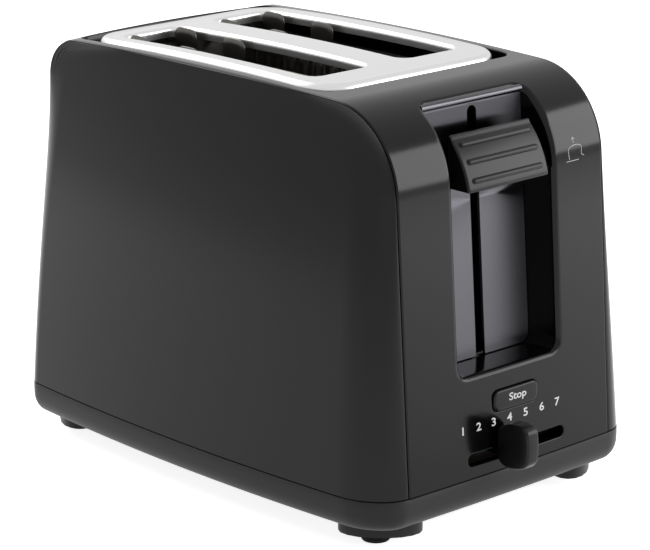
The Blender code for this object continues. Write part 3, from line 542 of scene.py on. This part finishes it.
# Polished ABS is near black in itself, and what shows on it is a clear, soft-edged reflection.
gloss_abs = plastic("moulded_abs_high_gloss", "#060607", 0.15, 0.9, 0.0012)
surface("housing_shell", housing_grids, gloss_abs, nodes=["housing"])


# ---- Side panels ----
# Two bowed sides, injection moulded in high-gloss black ABS and clipped to the housing. Each rounds over along
# the whole arch with a wide radius, and stands a hair behind the housing's edge.

PANEL_SET_BACK = 0.45


def edge_line(lever_inset, rear_inset, steps=(40, 36, 100)):
    """The arch moved inwards, from the rear's foot over to the lever end's, as X and Z. Along the crown one
    end's inset passes evenly into the other's."""
    lengths = [np.linspace(0, RISE[REAR], steps[0] + 1)]
    lengths.append(np.linspace(RISE[REAR], RISE[REAR] + ARC[REAR], steps[1] + 1)[1:])
    lengths.append(np.linspace(RISE[REAR] + ARC[REAR], WHOLE - RISE[LEVER] - ARC[LEVER], steps[2] + 1)[1:])
    lengths.append(np.linspace(WHOLE - RISE[LEVER] - ARC[LEVER], WHOLE - RISE[LEVER], steps[1] + 1)[1:])
    lengths.append(np.linspace(WHOLE - RISE[LEVER], WHOLE, steps[0] + 1)[1:])
    s = WHOLE - np.concatenate(lengths)
    x, z, out_x, out_z = arch(s)
    share = np.clip((x + MEET[REAR]) / (MEET[LEVER] + MEET[REAR]), 0, 1)
    inset = rear_inset + (lever_inset - rear_inset) * share
    x, z = x - inset * out_x, z - inset * out_z
    z[0] = z[-1] = FOOT_Z
    return np.stack([x, z], 1)


def coons(left, right, top, bottom):
    """A Coons patch: the blend of opposite edges both ways, less the blend of the four corners."""
    across = ((top[:, 0] - top[0, 0]) / (top[-1, 0] - top[0, 0]))[None, :, None]
    up = ((left[:, 1] - left[0, 1]) / (left[-1, 1] - left[0, 1]))[:, None, None]
    edges = (1 - up) * bottom[None] + up * top[None] + (1 - across) * left[:, None] + across * right[:, None]
    low = (1 - across) * bottom[0] + across * bottom[-1]
    high = (1 - across) * top[0] + across * top[-1]
    return edges - (1 - up) * low - up * high


def side_panel(side):
    """The rounded margin as rings from the seam inwards, then a Coons patch over the face inside it."""
    seam = HOUSING_HALF + 0.15
    rings = []
    for inset, y in ((2.4, seam), (0.35, seam), (0.1, seam + 0.1), (0.0, seam + 0.35)):
        line = edge_line(PANEL_SET_BACK + inset, PANEL_SET_BACK + inset)
        rings.append(np.stack([line[:, 0], np.full(len(line), y), line[:, 1]], 1))
    for angle in np.linspace(0, np.pi / 2, 25)[1:]:
        round_in = 1 - math.cos(angle)
        insets = [PANEL_SET_BACK + (FILLET[end] - PANEL_SET_BACK) * round_in for end in (LEVER, REAR)]
        line = edge_line(*insets)
        reach = side_reach(line[:, 0], line[:, 1]) - seam - 0.35
        rings.append(np.stack([line[:, 0], seam + 0.35 + reach * math.sin(angle), line[:, 1]], 1))
    margin = np.stack(rings)
    line = edge_line(FILLET[LEVER], FILLET[REAR])
    turn = 40 + 18
    left, top, right = line[: turn + 1], line[turn : len(line) - turn], line[len(line) - turn - 1 :][::-1]
    share = (top[:, 0] - top[0, 0]) / (top[-1, 0] - top[0, 0])
    bottom = np.stack([left[0, 0] + (right[0, 0] - left[0, 0]) * share, np.full(len(top), FOOT_Z)], 1)
    flat = coons(left, right, top, bottom)
    face = np.stack([flat[..., 0], side_reach(flat[..., 0], flat[..., 1]), flat[..., 1]], -1)
    mirror = (1, side, 1)
    return [(margin * mirror, False, side > 0), (face * mirror, False, side > 0)]


# The same polished ABS, a trace warmer, with long even reflections over the wide curve.
panel_abs = plastic("moulded_abs_gloss_panel", "#090808", 0.13, 0.9, 0.0012)
for name, side in (("left", -1), ("right", 1)):
    surface(
        f"panel_{name}",
        side_panel(side),
        panel_abs,
        nodes=[f"side_panel_{name}"],
    )


# ---- Top plate ----
# A deep-drawn stainless plate, satin finished: a rolled outer edge with a shallow crease inside it, and a raised
# bead round each slot before the metal turns down into a collar.

PLATE_X, PLATE_HALF, PLATE_CORNER = -15.6, (81.0, 55.5), 18.6
PLATE_Z, PLATE_FALL = 190.7, 0.00029
SLOT_X, SLOT_HALF, SLOT_CORNER, SLOT_Y = -19.35, (64.1, 17.2), 6.0, 27.2
PLATE_COUNTS = (64, 110, 64, 110)
HALF_COUNTS = (32, 110, 32, 110)


def plate_ring(loop, height):
    """A flat loop at a height above the plate's crowned face, which falls as the square of X."""
    x, y = loop.T
    return np.stack([x, y, PLATE_Z + height - PLATE_FALL * x**2], 1)


edge_profile = [(1.0, -6.6), (0.0, -6.6), (0.0, -3.2)]
roll_angles = np.linspace(0, np.pi / 2, 12)[1:]
edge_profile += [(3.2 - 3.2 * math.cos(a), -3.2 + 3.2 * math.sin(a)) for a in roll_angles]
edge_profile += [(4.0, -0.08), (4.6, -0.25), (5.2, -0.3), (6.0, -0.3)]
border = []
for inset, height in edge_profile:
    half = (PLATE_HALF[0] - inset, PLATE_HALF[1] - inset)
    border.append(plate_ring(round_loop((PLATE_X, 0), half, PLATE_CORNER - inset, PLATE_COUNTS), height))
plate_grids = [(np.stack(border), True, False)]
inner = round_loop((PLATE_X, 0), (PLATE_HALF[0] - 6, PLATE_HALF[1] - 6), PLATE_CORNER - 6, PLATE_COUNTS)
bead_profile = [(2.6, -0.3), (2.3, -0.3)]
bead_profile += [(2.1 - 2.1 * math.sin(a), -2.4 + 2.1 * math.cos(a)) for a in np.linspace(0, np.pi / 2, 10)]
bead_profile += [(0.0, -3.4), (0.0, -5.0), (0.8, -5.0), (0.8, -3.0)]
upper = np.roll(inner, -32, 0)[: 32 + 110 + 32 + 1]
line_x = np.linspace(upper[-1, 0], upper[0, 0], 111)[1:-1]
outer_upper = np.concatenate([upper, np.stack([line_x, np.zeros_like(line_x)], 1)])
for side in (-1, 1):
    centre = (SLOT_X, SLOT_Y)
    loops = [
        (round_loop(centre, (SLOT_HALF[0] + g, SLOT_HALF[1] + g), SLOT_CORNER + g, HALF_COUNTS), h)
        for g, h in bead_profile
    ]
    field = between(outer_upper, loops[0][0], 12, 1.0)
    rings = [plate_ring(loop, -0.3) for loop in field] + [plate_ring(loop, h) for loop, h in loops[1:]]
    plate_grids.append((np.stack(rings) * (1, side, 1), True, side < 0))


def satin_steel(name, code, roughness, along, groove_mm=0.12, depth_mm=0.004, streak=0.05):
    """Sheet steel with a fine satin grain: noise drawn out along one axis drives colour, polish and bump."""
    made = bpy.data.materials.new(name)
    made.use_nodes = True
    tree = made.node_tree
    shader = tree.nodes["Principled BSDF"]
    place = add_node(tree, "ShaderNodeTexCoord").outputs["Object"]
    scale = [1000 / groove_mm] * 3
    scale[along] = 1000 / (groove_mm * 60)
    stretched = add_node(tree, "ShaderNodeMapping", {"Vector": place, "Scale": scale})
    grain = add_node(
        tree, "ShaderNodeTexNoise", {"Vector": stretched.outputs[0], "Scale": 1.0, "Detail": 3.0}
    )
    base = colour(code)
    darker = tuple(c * (1 - streak) for c in base[:3]) + (1.0,)
    mixed = add_node(tree, "ShaderNodeMix", {0: grain.outputs[0], 6: darker, 7: base}, data_type="RGBA")
    polish = add_node(
        tree,
        "ShaderNodeMapRange",
        {"Value": grain.outputs[0], "To Min": roughness * 0.9, "To Max": roughness * 1.1},
    )
    bump = add_node(
        tree, "ShaderNodeBump", {"Height": grain.outputs[0], "Strength": 0.5, "Distance": depth_mm * MM}
    )
    tree.links.new(mixed.outputs[2], shader.inputs["Base Color"])
    tree.links.new(polish.outputs[0], shader.inputs["Roughness"])
    tree.links.new(bump.outputs[0], shader.inputs["Normal"])
    shader.inputs["Metallic"].default_value = 1.0
    return made


# Satin stainless is bright, and its fine grain along the plate blurs reflections across it.
satin_stainless = satin_steel("stainless_steel_satin", "#d8d8d8", 0.3, 0)
surface("slotted_plate", plate_grids, satin_stainless, nodes=["top_plate"], sharp=50)


# ---- Lever guide ----
# The plate on the recess's back wall: a pressed strip of brushed steel, split by the lever's slot, with its top
# edge curled over. It hooks over the shell and is held by two tabs behind it.

GUIDE_HALF, GUIDE_LOW, GUIDE_CORNER = 30.2, 69.8, 4.7
STEM_SLOT, STEM_HIGH = 2.8, 176.2


def guide_point(y, z, forward=0.0):
    """A point on the plate's face, or a distance in front of it."""
    y, z, forward = np.broadcast_arrays(y, z, forward)
    return np.stack([recess_wall(z) + forward, y, z], -1)


def guide_edge(z):
    """How far the plate reaches sideways at a height: a quarter circle rounds each lower corner."""
    under = np.clip(GUIDE_LOW + GUIDE_CORNER - z, 0, GUIDE_CORNER)
    return GUIDE_HALF - GUIDE_CORNER + np.sqrt(GUIDE_CORNER**2 - under**2)


corner_z = np.linspace(0, 1, 14) ** 1.5 * GUIDE_CORNER + GUIDE_LOW
leg_z = np.concatenate([corner_z, np.linspace(78, STEM_HIGH, 30)])
leg_share = np.linspace(0, 1, 13)
leg_y = STEM_SLOT + (guide_edge(leg_z)[:, None] - STEM_SLOT) * leg_share[None]
stem_y = STEM_SLOT * np.sin(np.linspace(-np.pi / 2, np.pi / 2, 13))
top_y = np.concatenate([-leg_y[-1, ::-1], stem_y[1:-1], leg_y[-1]])
top_foot = STEM_HIGH + np.sqrt(np.clip(STEM_SLOT**2 - top_y**2, 0, None))
curl = np.radians(np.linspace(-76, 200, 26))
curl_out = [(-0.3 + 1.5 * math.cos(a), 181.9 + 1.5 * math.sin(a)) for a in curl]
curl_in = [(-0.3 + 0.8 * math.cos(a), 181.9 + 0.8 * math.sin(a)) for a in curl[::-1]]
top_rows = [guide_point(top_y, top_foot + (180.2 - top_foot) * share) for share in np.linspace(0, 1, 6)]
top_rows += [guide_point(top_y, z, forward) for forward, z in curl_out + curl_in]
guide_grids = [(np.stack(top_rows), False, False)]
for side in (-1, 1):
    leg = guide_point(side * leg_y, leg_z[:, None])
    guide_grids.append((leg, False, side < 0))
    edge = np.stack([leg[:, 0], leg[:, 0] - (1.5, 0, 0)])
    guide_grids.append((edge, False, side > 0))
    both_faces = (curl_out, curl_in[::-1])
    curl_end = np.stack(
        [np.stack([guide_point(side * GUIDE_HALF, z, f) for f, z in ring]) for ring in both_faces]
    )
    guide_grids.append((curl_end, False, side > 0))
slot_edge = np.concatenate(
    [guide_point(-STEM_SLOT, leg_z), top_rows[0][13:24], guide_point(STEM_SLOT, leg_z[::-1])]
)
guide_grids.append((np.stack([slot_edge, slot_edge - (1.5, 0, 0)]), False, True))
# Brushed strip is a dark neutral grey, with streaks that follow the grain.
brushed_steel = satin_steel("steel_strip_brushed", "#56565a", 0.26, 1, 0.1, 0.0001, 0.03)
# The grain runs across the strip, so a reflection is drawn out up and down it and stays sharp sideways.
tree = brushed_steel.node_tree
grain_way = add_node(tree, "ShaderNodeTangent", direction_type="RADIAL", axis="Z")
shader = tree.nodes["Principled BSDF"]
tree.links.new(grain_way.outputs[0], shader.inputs["Tangent"])
shader.inputs["Anisotropic"].default_value = 1.0
surface("guide_plate", guide_grids, brushed_steel, nodes=["lever_guide"], sharp=40)


# ---- Chamber ----
# Everything that gets hot: two end plates and two reflectors of aluminised sheet, three mica boards wound with a
# flat resistance ribbon, and a guard of spot-welded wire on each side of each slot.


def dress(names, finish):
    """Gives CAD nodes whose shape is right a better material."""
    for name in names:
        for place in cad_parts[name].material_slots:
            place.material = finish


def sheet_steel(name, code, roughness, spangle_mm, contrast):
    """Coated sheet: crystals of the coating as cells that differ a little in shade and polish."""
    made = bpy.data.materials.new(name)
    made.use_nodes = True
    tree = made.node_tree
    shader = tree.nodes["Principled BSDF"]
    place = add_node(tree, "ShaderNodeTexCoord").outputs["Object"]
    cells = add_node(tree, "ShaderNodeTexVoronoi", {"Vector": place, "Scale": 1000 / spangle_mm})
    haze = add_node(tree, "ShaderNodeTexNoise", {"Vector": place, "Scale": 60.0, "Detail": 4.0})
    base = colour(code)
    darker = tuple(c * (1 - contrast) for c in base[:3]) + (1.0,)
    crystal = add_node(tree, "ShaderNodeSeparateColor", {"Color": cells.outputs["Color"]})
    mixed = add_node(
        tree, "ShaderNodeMix", {0: crystal.outputs[0], 6: darker, 7: base}, data_type="RGBA"
    )
    polish = add_node(
        tree,
        "ShaderNodeMapRange",
        {"Value": haze.outputs[0], "To Min": roughness * 0.8, "To Max": roughness * 1.2},
    )
    tree.links.new(mixed.outputs[2], shader.inputs["Base Color"])
    tree.links.new(polish.outputs[0], shader.inputs["Roughness"])
    shader.inputs["Metallic"].default_value = 1.0
    return made


# Aluminised sheet is a soft warm grey with faint patches that differ in polish.
aluminised_sheet = sheet_steel("aluminised_steel_sheet", "#7f7d79", 0.36, 1.6, 0.18)
dress(["end_plate_lever", "end_plate_rear", "heat_shield_left", "heat_shield_right"], aluminised_sheet)

mica_board = bpy.data.materials.new("phlogopite_mica_board")
mica_board.use_nodes = True
tree = mica_board.node_tree
place = add_node(tree, "ShaderNodeTexCoord").outputs["Object"]
# Pressed mica is a felt of small flakes, amber grey, with a few bright ones.
flakes = add_node(tree, "ShaderNodeTexVoronoi", {"Vector": place, "Scale": 1000 / 2.5})
flake = add_node(tree, "ShaderNodeSeparateColor", {"Color": flakes.outputs["Color"]})
shade = add_node(
    tree,
    "ShaderNodeMix",
    {0: flake.outputs[0], 6: colour("#2d2a26"), 7: colour("#47433c")},
    data_type="RGBA",
)
gleam = add_node(tree, "ShaderNodeMapRange", {"Value": flake.outputs[1], "To Min": 0.35, "To Max": 0.7})
shader = tree.nodes["Principled BSDF"]
tree.links.new(shade.outputs[2], shader.inputs["Base Color"])
tree.links.new(gleam.outputs[0], shader.inputs["Roughness"])
shader.inputs["IOR"].default_value = 1.58
dress(["heating_element_left", "heating_element_centre", "heating_element_right"], mica_board)

ELEMENT_Y = {"left": -46.0, "centre": 0.0, "right": 46.0}
# Heating ribbon has a dull brown-grey oxide that shines only weakly.
ribbon_alloy = satin_steel("iron_chromium_ribbon", "#544e49", 0.45, 2, 0.2, 0.002)
for name, y in ELEMENT_Y.items():
    turns, half_wide = 26, 0.55
    around = np.linspace(0, 2 * np.pi * turns, 26 * 40 + 1)
    x = -80 + 120 * around / around[-1]
    rise = 108 + 61.5 * np.clip(1.6 * np.sin(around), -1, 1)
    out = y + 0.75 * np.clip(6 * np.cos(around), -1, 1)
    ribbon = np.stack([np.stack([x + w, out, rise], 1) for w in (-half_wide, half_wide)], 1)
    wound = surface(f"ribbon_{name}", [(ribbon, False, False)], ribbon_alloy)
    thick = wound.modifiers.new("thickness", "SOLIDIFY")
    thick.thickness = 0.15 * MM
    thick.offset = 0


def tube(path, radius, sides=10):
    """A round wire along a path of points: rings square to the path, closed to a point at both ends."""
    path = np.asarray(path, float)
    along = np.gradient(path, axis=0)
    along /= np.linalg.norm(along, axis=1)[:, None]
    spare = np.where(np.abs(along[:, 2:]) > 0.9, [[1.0, 0, 0]], [[0, 0, 1.0]])
    first = np.cross(along, spare)
    first /= np.linalg.norm(first, axis=1)[:, None]
    second = np.cross(along, first)
    angle = np.linspace(0, 2 * np.pi, sides + 1)[:-1]
    ring = np.cos(angle)[None, :, None] * first[:, None] + np.sin(angle)[None, :, None] * second[:, None]
    body = path[:, None] + radius * ring
    start, end = np.broadcast_to(path[0], body[:1].shape), np.broadcast_to(path[-1], body[:1].shape)
    return np.concatenate([start, body, end])


def straight(start, end, steps=2):
    """Points evenly along a straight line."""
    return np.linspace(start, end, steps)


TAB_HALF, TAB_MIDDLE_Z, TAB_CORNER, TAB_MIDDLES = (7.5, 5.8), 183.4, 4.0, (-74.0, -40.5)


def lead_in_tab(middle, y):
    """A round-cornered sheet tab standing on the top wire: rings of its outline, drawn in by an inset. They run
    from one face, over the thin edge, to the other. A narrow slit stays open in the middle of each face."""
    half_rings = [(5.7, 0.4), (3.0, 0.4), (0.12, 0.4), (0.0, 0.28)]
    profile = [(inset, -out) for inset, out in half_rings] + half_rings[::-1]
    rings = []
    for inset, out in profile:
        half = np.array([TAB_HALF[0] - inset, TAB_HALF[1] - inset])
        corner = min(TAB_CORNER - min(inset, 3.0), *half) * 0.98
        loop = round_loop((middle, TAB_MIDDLE_Z), half, corner, (8, 8, 8, 8))
        rings.append(np.stack([loop[:, 0], np.full(len(loop), y + out), loop[:, 1]], 1))
    return np.stack(rings)


# Nickel plate that has been hot is a brownish grey, with a narrow glint along each wire.
nickel_wire = satin_steel("nickel_plated_wire", "#5f5d5a", 0.32, 2, 0.2, 0.002)
guard_places = [side * SLOT_Y + offset for side in (-1, 1) for offset in (-13.6, 13.6)]
for number, y in enumerate(guard_places, 1):
    wires = [tube(straight((x + 0.8, y, 42.4), (x + 0.8, y, 179.6)), 0.75) for x in range(-76, 44, 19)]
    wires += [tube(straight((-84.9, y, z), (45.5, y, z)), 0.75) for z in (42.8, 110.8, 179.2)]
    tabs = [(lead_in_tab(middle, y), True, False) for middle in TAB_MIDDLES]
    surface(
        f"guard_{number}",
        [(wire, True, True) for wire in wires] + tabs,
        nickel_wire,
        nodes=[f"bread_guard_{number}"],
        sharp=60,
    )


# ---- Racks and carriage ----
# Two steel racks that lift the bread, welded to a plate that slides on an upright rod. A spring lifts them, and
# an armature on a tongue is held down by the magnet while the bread toasts.

# Zinc plate is a paler grey than the aluminised sheet, and finely mottled.
zinc_plate = sheet_steel("zinc_plated_steel", "#a3a19a", 0.34, 1.2, 0.1)
carried = ["bread_rack_left", "bread_rack_right", "carriage", "lever_stem", "armature"]
dress(carried + ["guide_rod"], zinc_plate)
# The spring's top stays on its seat as its foot follows the carriage, spreading its turns; this coil stays at one
# length.
SPRING_TURNS, SPRING_X, SPRING_Y, SPRING_RADIUS, SPRING_WIRE = 9, 62.0, -16.0, 3.4, 0.45
SPRING_FOOT, SPRING_HEAD = 152.45, 175.55
turn = np.linspace(0, 2 * np.pi * SPRING_TURNS, SPRING_TURNS * 24 + 1)
coil_x = SPRING_X + SPRING_RADIUS * np.cos(turn)
coil_y = SPRING_Y + SPRING_RADIUS * np.sin(turn)
coil_z = SPRING_FOOT + (SPRING_HEAD - SPRING_FOOT) * turn / turn[-1]
coil = np.stack([coil_x, coil_y, coil_z], 1)
lift_spring = surface(
    "lift_spring",
    [(tube(coil, SPRING_WIRE), True, True)],
    nickel_wire,
    body=None,
    nodes=["carriage_spring"],
    sharp=60,
)
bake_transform(lift_spring)


# ---- Lever knob ----
# The thumb piece, moulded in black ABS with a fine spark-eroded texture: a curved face with three round ribs,
# pressed onto the end of the flat steel stem.

KNOB_HALF, KNOB_EDGE = 24.4, 1.1


def inset_loop(loop, distance):
    """A closed loop moved inwards, square to the line between each point's neighbours."""
    along = np.roll(loop, -1, 0) - np.roll(loop, 1, 0)
    along /= np.linalg.norm(along, axis=1)[:, None]
    return loop + distance * np.stack([-along[:, 1], along[:, 0]], 1)


def bar(loop, half, edge, middle=0.0):
    """A loop of (x, z) carried along Y, with both ends rounded over and closed by a cap to one point."""
    turn = np.linspace(0, np.pi / 2, 6)
    stations = [(half - edge + edge * math.sin(a), edge * (1 - math.cos(a))) for a in turn]
    rings = []
    for y, inset in [(-y, inset) for y, inset in stations[::-1]] + stations:
        ring = inset_loop(loop, inset)
        rings.append(np.stack([ring[:, 0], np.full(len(ring), middle + y), ring[:, 1]], 1))
    ends = []
    for ring in (rings[0], rings[-1]):
        centre = ring.mean(0)
        ends.append([centre + (ring - centre) * share for share in (0.0, 0.5)])
    return np.stack(ends[0] + rings + ends[1][::-1])


def rounded(corners, radii, steps=6):
    """A closed loop through corners in order, each rounded by a quadratic curve of its own reach."""
    corners = np.asarray(corners, float)
    loop = []
    for index, corner in enumerate(corners):
        reach = radii[index]
        before, after = corners[index - 1] - corner, corners[(index + 1) % len(corners)] - corner
        start = corner + before / np.linalg.norm(before) * reach
        end = corner + after / np.linalg.norm(after) * reach
        t = np.linspace(0, 1, steps)[:, None]
        loop.append((1 - t) ** 2 * start + 2 * t * (1 - t) * corner + t**2 * end)
    return np.concatenate(loop)


share = np.linspace(0.04, 0.96, 15)
chord = np.array([11.6, -21.3])
face_line = np.array([107.6, 170.4]) + share[:, None] * chord
face_out = np.array([21.3, 11.6]) / np.hypot(21.3, 11.6)
face_line = face_line + (4 * share * (1 - share) * 1.8)[:, None] * face_out
knob_corners = [(106.4, 171.4), (107.3, 171.4), *face_line, (119.0, 148.6), (106.4, 148.6)]
knob_radii = [0.3, 0.4] + [0.4] * len(face_line) + [0.7, 0.5]
knob_loop = rounded(knob_corners, knob_radii, 4)[::-1]
knob_grids = [(bar(knob_loop, KNOB_HALF, KNOB_EDGE), True, False)]
for rib in (1 / 6, 3 / 6, 5 / 6):
    x, z = np.array([107.6, 170.7]) + rib * chord + 4 * rib * (1 - rib) * 1.8 * face_out
    round_end = 1.35 * np.sin(np.linspace(0, np.pi / 2, 6))
    thick = 1.35 * np.cos(np.linspace(0, np.pi / 2, 6))
    y = np.concatenate([-20.1 - round_end[::-1], 20.1 + round_end])
    radius = np.concatenate([thick[::-1], thick])
    angle = np.linspace(0, 2 * np.pi, 25)[:-1]
    rib_x = x - 0.35 + radius[:, None] * np.cos(angle)
    rib_z = z - 0.2 + radius[:, None] * np.sin(angle)
    knob_grids.append((np.stack([rib_x, np.broadcast_to(y[:, None], rib_x.shape), rib_z], -1), True, True))
# The eroded texture breaks the reflection up, so the ribs show by their soft highlights.
textured_abs = plastic("moulded_abs_textured", "#141415", 0.32, 0.3, 0.006)
surface(
    "thumb_knob", knob_grids, textured_abs, body="lever_carriage", nodes=["lever_knob"]
)


# ---- Electrics ----
# Behind the control end: the magnet's coil, the mains contacts, and a coated paper board that carries the
# slider's control and the stop switch.

# Clear enamel over copper gives a deep orange-brown winding with a fine striped sheen.
enamel_coil = satin_steel("enamelled_copper_winding", "#8a4a28", 0.35, 1, 0.25, 0.03, 0.3)
dress(["electromagnet"], enamel_coil)
# Phenolic is a dull brown-black with a dry surface.
phenolic = plastic("moulded_phenolic_black", "#141415", 0.5, 0.4, 0.01)
dress(["contact_block", "browning_control", "stop_switch"], phenolic)
# Resin-bonded paper is dark brown and half matt.
board_resin = plastic("phenolic_paper_board", "#1b1712", 0.5, 0.5, 0.01)
dress(["circuit_board"], board_resin)
dress([f"screw_{number}" for number in (1, 2, 3, 4)], zinc_plate)
dress(["crumb_tray"], aluminised_sheet)


# ---- Stop button ----
# A round-cornered key of gloss black ABS with its word pad-printed in white. It hangs in the shell's opening on a
# collar behind the wall.

BUTTON_Y, BUTTON_Z, BUTTON_FACE = 1.9, 55.3, 123.4
key_rings = []
key_edge = [(119.8, 0.0), (122.2, 0.0), (122.7, 0.0), (123.0, -0.1)]
key_edge += [(123.25, -0.35), (123.36, -0.75), (BUTTON_FACE, -1.4)]
for x, grow in key_edge:
    half = (13.5 + grow, 4.55 + grow)
    loop = round_loop((BUTTON_Y, BUTTON_Z), half, max(3.0 + grow, 0.8), (40, 24, 40, 24))
    key_rings.append(np.column_stack([np.full(len(loop), x), loop]))
key_middle = key_rings[-1].mean(0)
key_rings += [key_middle + (key_rings[-1] - key_middle) * share for share in (0.5, 0.0)]
# The key is less polished than the shell, so it looks a shade paler than the wall around it.
key_abs = plastic("moulded_abs_gloss_key", "#0f0f11", 0.24, 0.6, 0.002)
surface(
    "stop_key",
    [(np.stack(key_rings), True, False)],
    key_abs,
    body="stop_button_body",
    nodes=["stop_button"],
)


def lettering(name, words, height, place, onto, finish, body):
    """Printed characters: a text is made a mesh and each of its points is carried to a place on a face."""
    outline = bpy.data.curves.new(name, "FONT")
    outline.body = words
    outline.size = height / 0.7
    outline.align_x = "CENTER"
    outline.align_y = "CENTER"
    outline.extrude = 0.02
    outline.offset = 0.025 * height
    writing = bpy.data.objects.new(name, outline)
    bpy.context.scene.collection.objects.link(writing)
    graph = bpy.context.evaluated_depsgraph_get()
    mesh = bpy.data.meshes.new_from_object(writing.evaluated_get(graph))
    bpy.data.objects.remove(writing)
    flat = np.empty(len(mesh.vertices) * 3)
    mesh.vertices.foreach_get("co", flat)
    across, up, lift = flat.reshape(-1, 3).T
    points = (onto(place[0] + 1.25 * across, place[1] + up, 0.03 + lift) + (BODY_X, 0, 0)) * MM
    mesh.vertices.foreach_set("co", points.ravel())
    mesh.materials.clear()
    mesh.materials.append(finish)
    made = bpy.data.objects.new(name, mesh)
    bpy.context.scene.collection.objects.link(made)
    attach(made, body)
    return made


def on_key(y, z, lift):
    """The flat face of the stop key."""
    return np.stack([BUTTON_FACE + lift, y, z], -1)


def on_end(y, z, lift):
    """The leaning, bowed face of the control end."""
    return skin(rise_to(z), y, -lift)


# Pad-printing ink is matt and opaque, so it stays white beside the gloss.
white_print = plastic("pad_print_white", "#e8e8e8", 0.5, 0.4, 0.001)
lettering("word_stop", "Stop", 3.3, (2.7, 55.8), on_key, white_print, "stop_button_body")


# ---- Browning slider ----
# A paddle of black ABS on a neck through the track, moulded in one piece, which pushes the timer's slide control
# behind the wall. The seven settings are printed above it.

SLIDER_Y, TIP_X = -7.2, 142.6
paddle = [(125.4, 31.0), (128.4, 28.2), (134.8, 27.6), (139.6, 29.0)]
paddle += [(141.9, 31.6), (142.6, 38.5), (141.9, 45.4)]
paddle += [(140.0, 47.2), (135.6, 48.0), (130.6, 47.4), (127.6, 46.0), (125.4, 44.0)]
paddle_loop = rounded(paddle, [0.8, 1.4, 2.4, 1.4, 1.2, 2.6, 1.1, 1.1, 1.8, 1.2, 1.2, 0.8], 5)
paddle_grid = bar(paddle_loop, 3.4, 1.0, SLIDER_Y)
depth = np.clip((paddle_grid[..., 0] - 125.4) / (TIP_X - 125.4), 0, 1)
paddle_grid[..., 1] = SLIDER_Y + (paddle_grid[..., 1] - SLIDER_Y) * (1.45 - 0.45 * depth)
neck = []
for x in (113.0, 119.0, 127.0):
    loop = round_loop((SLIDER_Y, 32.8), (2.5, 1.8), 1.7, (10, 10, 10, 10))
    neck.append(np.column_stack([np.full(len(loop), x), loop]))
surface(
    "slider_paddle",
    [(paddle_grid, True, True), (np.stack(neck), True, False)],
    plastic("moulded_abs_satin_slider", "#131315", 0.3, 0.4, 0.004),
    body="browning_slider_body",
    nodes=["browning_slider"],
)
for number, y in enumerate((-30.1, -20.6, -11.5, -1.7, 8.3, 18.5, 28.3), 1):
    lettering(f"setting_{number}", str(number), 3.5, (y, 46.5), on_end, white_print, "chassis")


def stroke(line, wide):
    """A printed line on the control end: a strip of one width along a path of (y, z) points."""
    line = np.asarray(line, float)
    along = np.gradient(line, axis=0)
    along /= np.linalg.norm(along, axis=1)[:, None]
    aside = np.stack([-along[:, 1], along[:, 0]], 1) * wide / 2
    edges = np.stack([line - aside, line + aside], 1)
    return on_end(edges[..., 0], edges[..., 1], 0.04)


# A slice of bread over a line, with an arrow that rises from it.
slice_line = [(41.0, 151.6), (40.7, 153.4), (40.4, 155.3), (40.8, 156.3), (41.8, 156.9), (43.5, 157.4)]
slice_line += [(45.2, 157.6), (46.9, 157.4), (48.2, 157.0), (49.0, 156.3), (49.0, 155.4)]
slice_line += [(48.7, 153.6), (48.8, 152.9), (50.4, 152.2)]
foot_line = [(39.0, 150.9), (43.0, 150.9), (47.0, 150.9)]
arrow_line = [(44.2, 158.6), (44.2, 159.8), (44.2, 160.9)]
marks = [slice_line, foot_line, arrow_line]
marks.append([(43.2, 160.0), (44.2, 161.0), (45.2, 160.0)])
mark_grids = [(stroke(mark, 0.32), False, True) for mark in marks]
surface("bread_symbol", mark_grids, plastic("pad_print_grey", "#b4b4b4", 0.5, 0.4, 0.001), sharp=180)


# ---- Cord gland ----
# A snap-in bush of black nylon in the rear wall, moulded in one piece, which a mains lead would leave through. No
# lead is fitted.

gland_profile = [(3.3, -114.0), (3.3, -126.6), (3.7, -127.4), (4.4, -127.6), (8.6, -127.6), (9.3, -127.3)]
gland_profile += [(9.6, -126.6), (9.6, -124.4), (7.2, -124.4), (7.2, -117.0), (9.0, -116.6), (8.2, -114.0)]
gland_profile.append(gland_profile[0])
around = np.linspace(0, 2 * np.pi, 65)[:-1]
radius, x = np.array(gland_profile).T
gland_y = 34.0 + radius[:, None] * np.cos(around)
gland_z = 44.0 + radius[:, None] * np.sin(around)
gland = np.stack([np.broadcast_to(x[:, None], gland_y.shape), gland_y, gland_z], -1)
# Nylon is black with a low waxy sheen.
nylon = plastic("moulded_nylon_black", "#1a1a1b", 0.45, 0.4, 0.006)
surface("cord_bush", [(gland, True, False)], nylon, nodes=["cord_gland"])
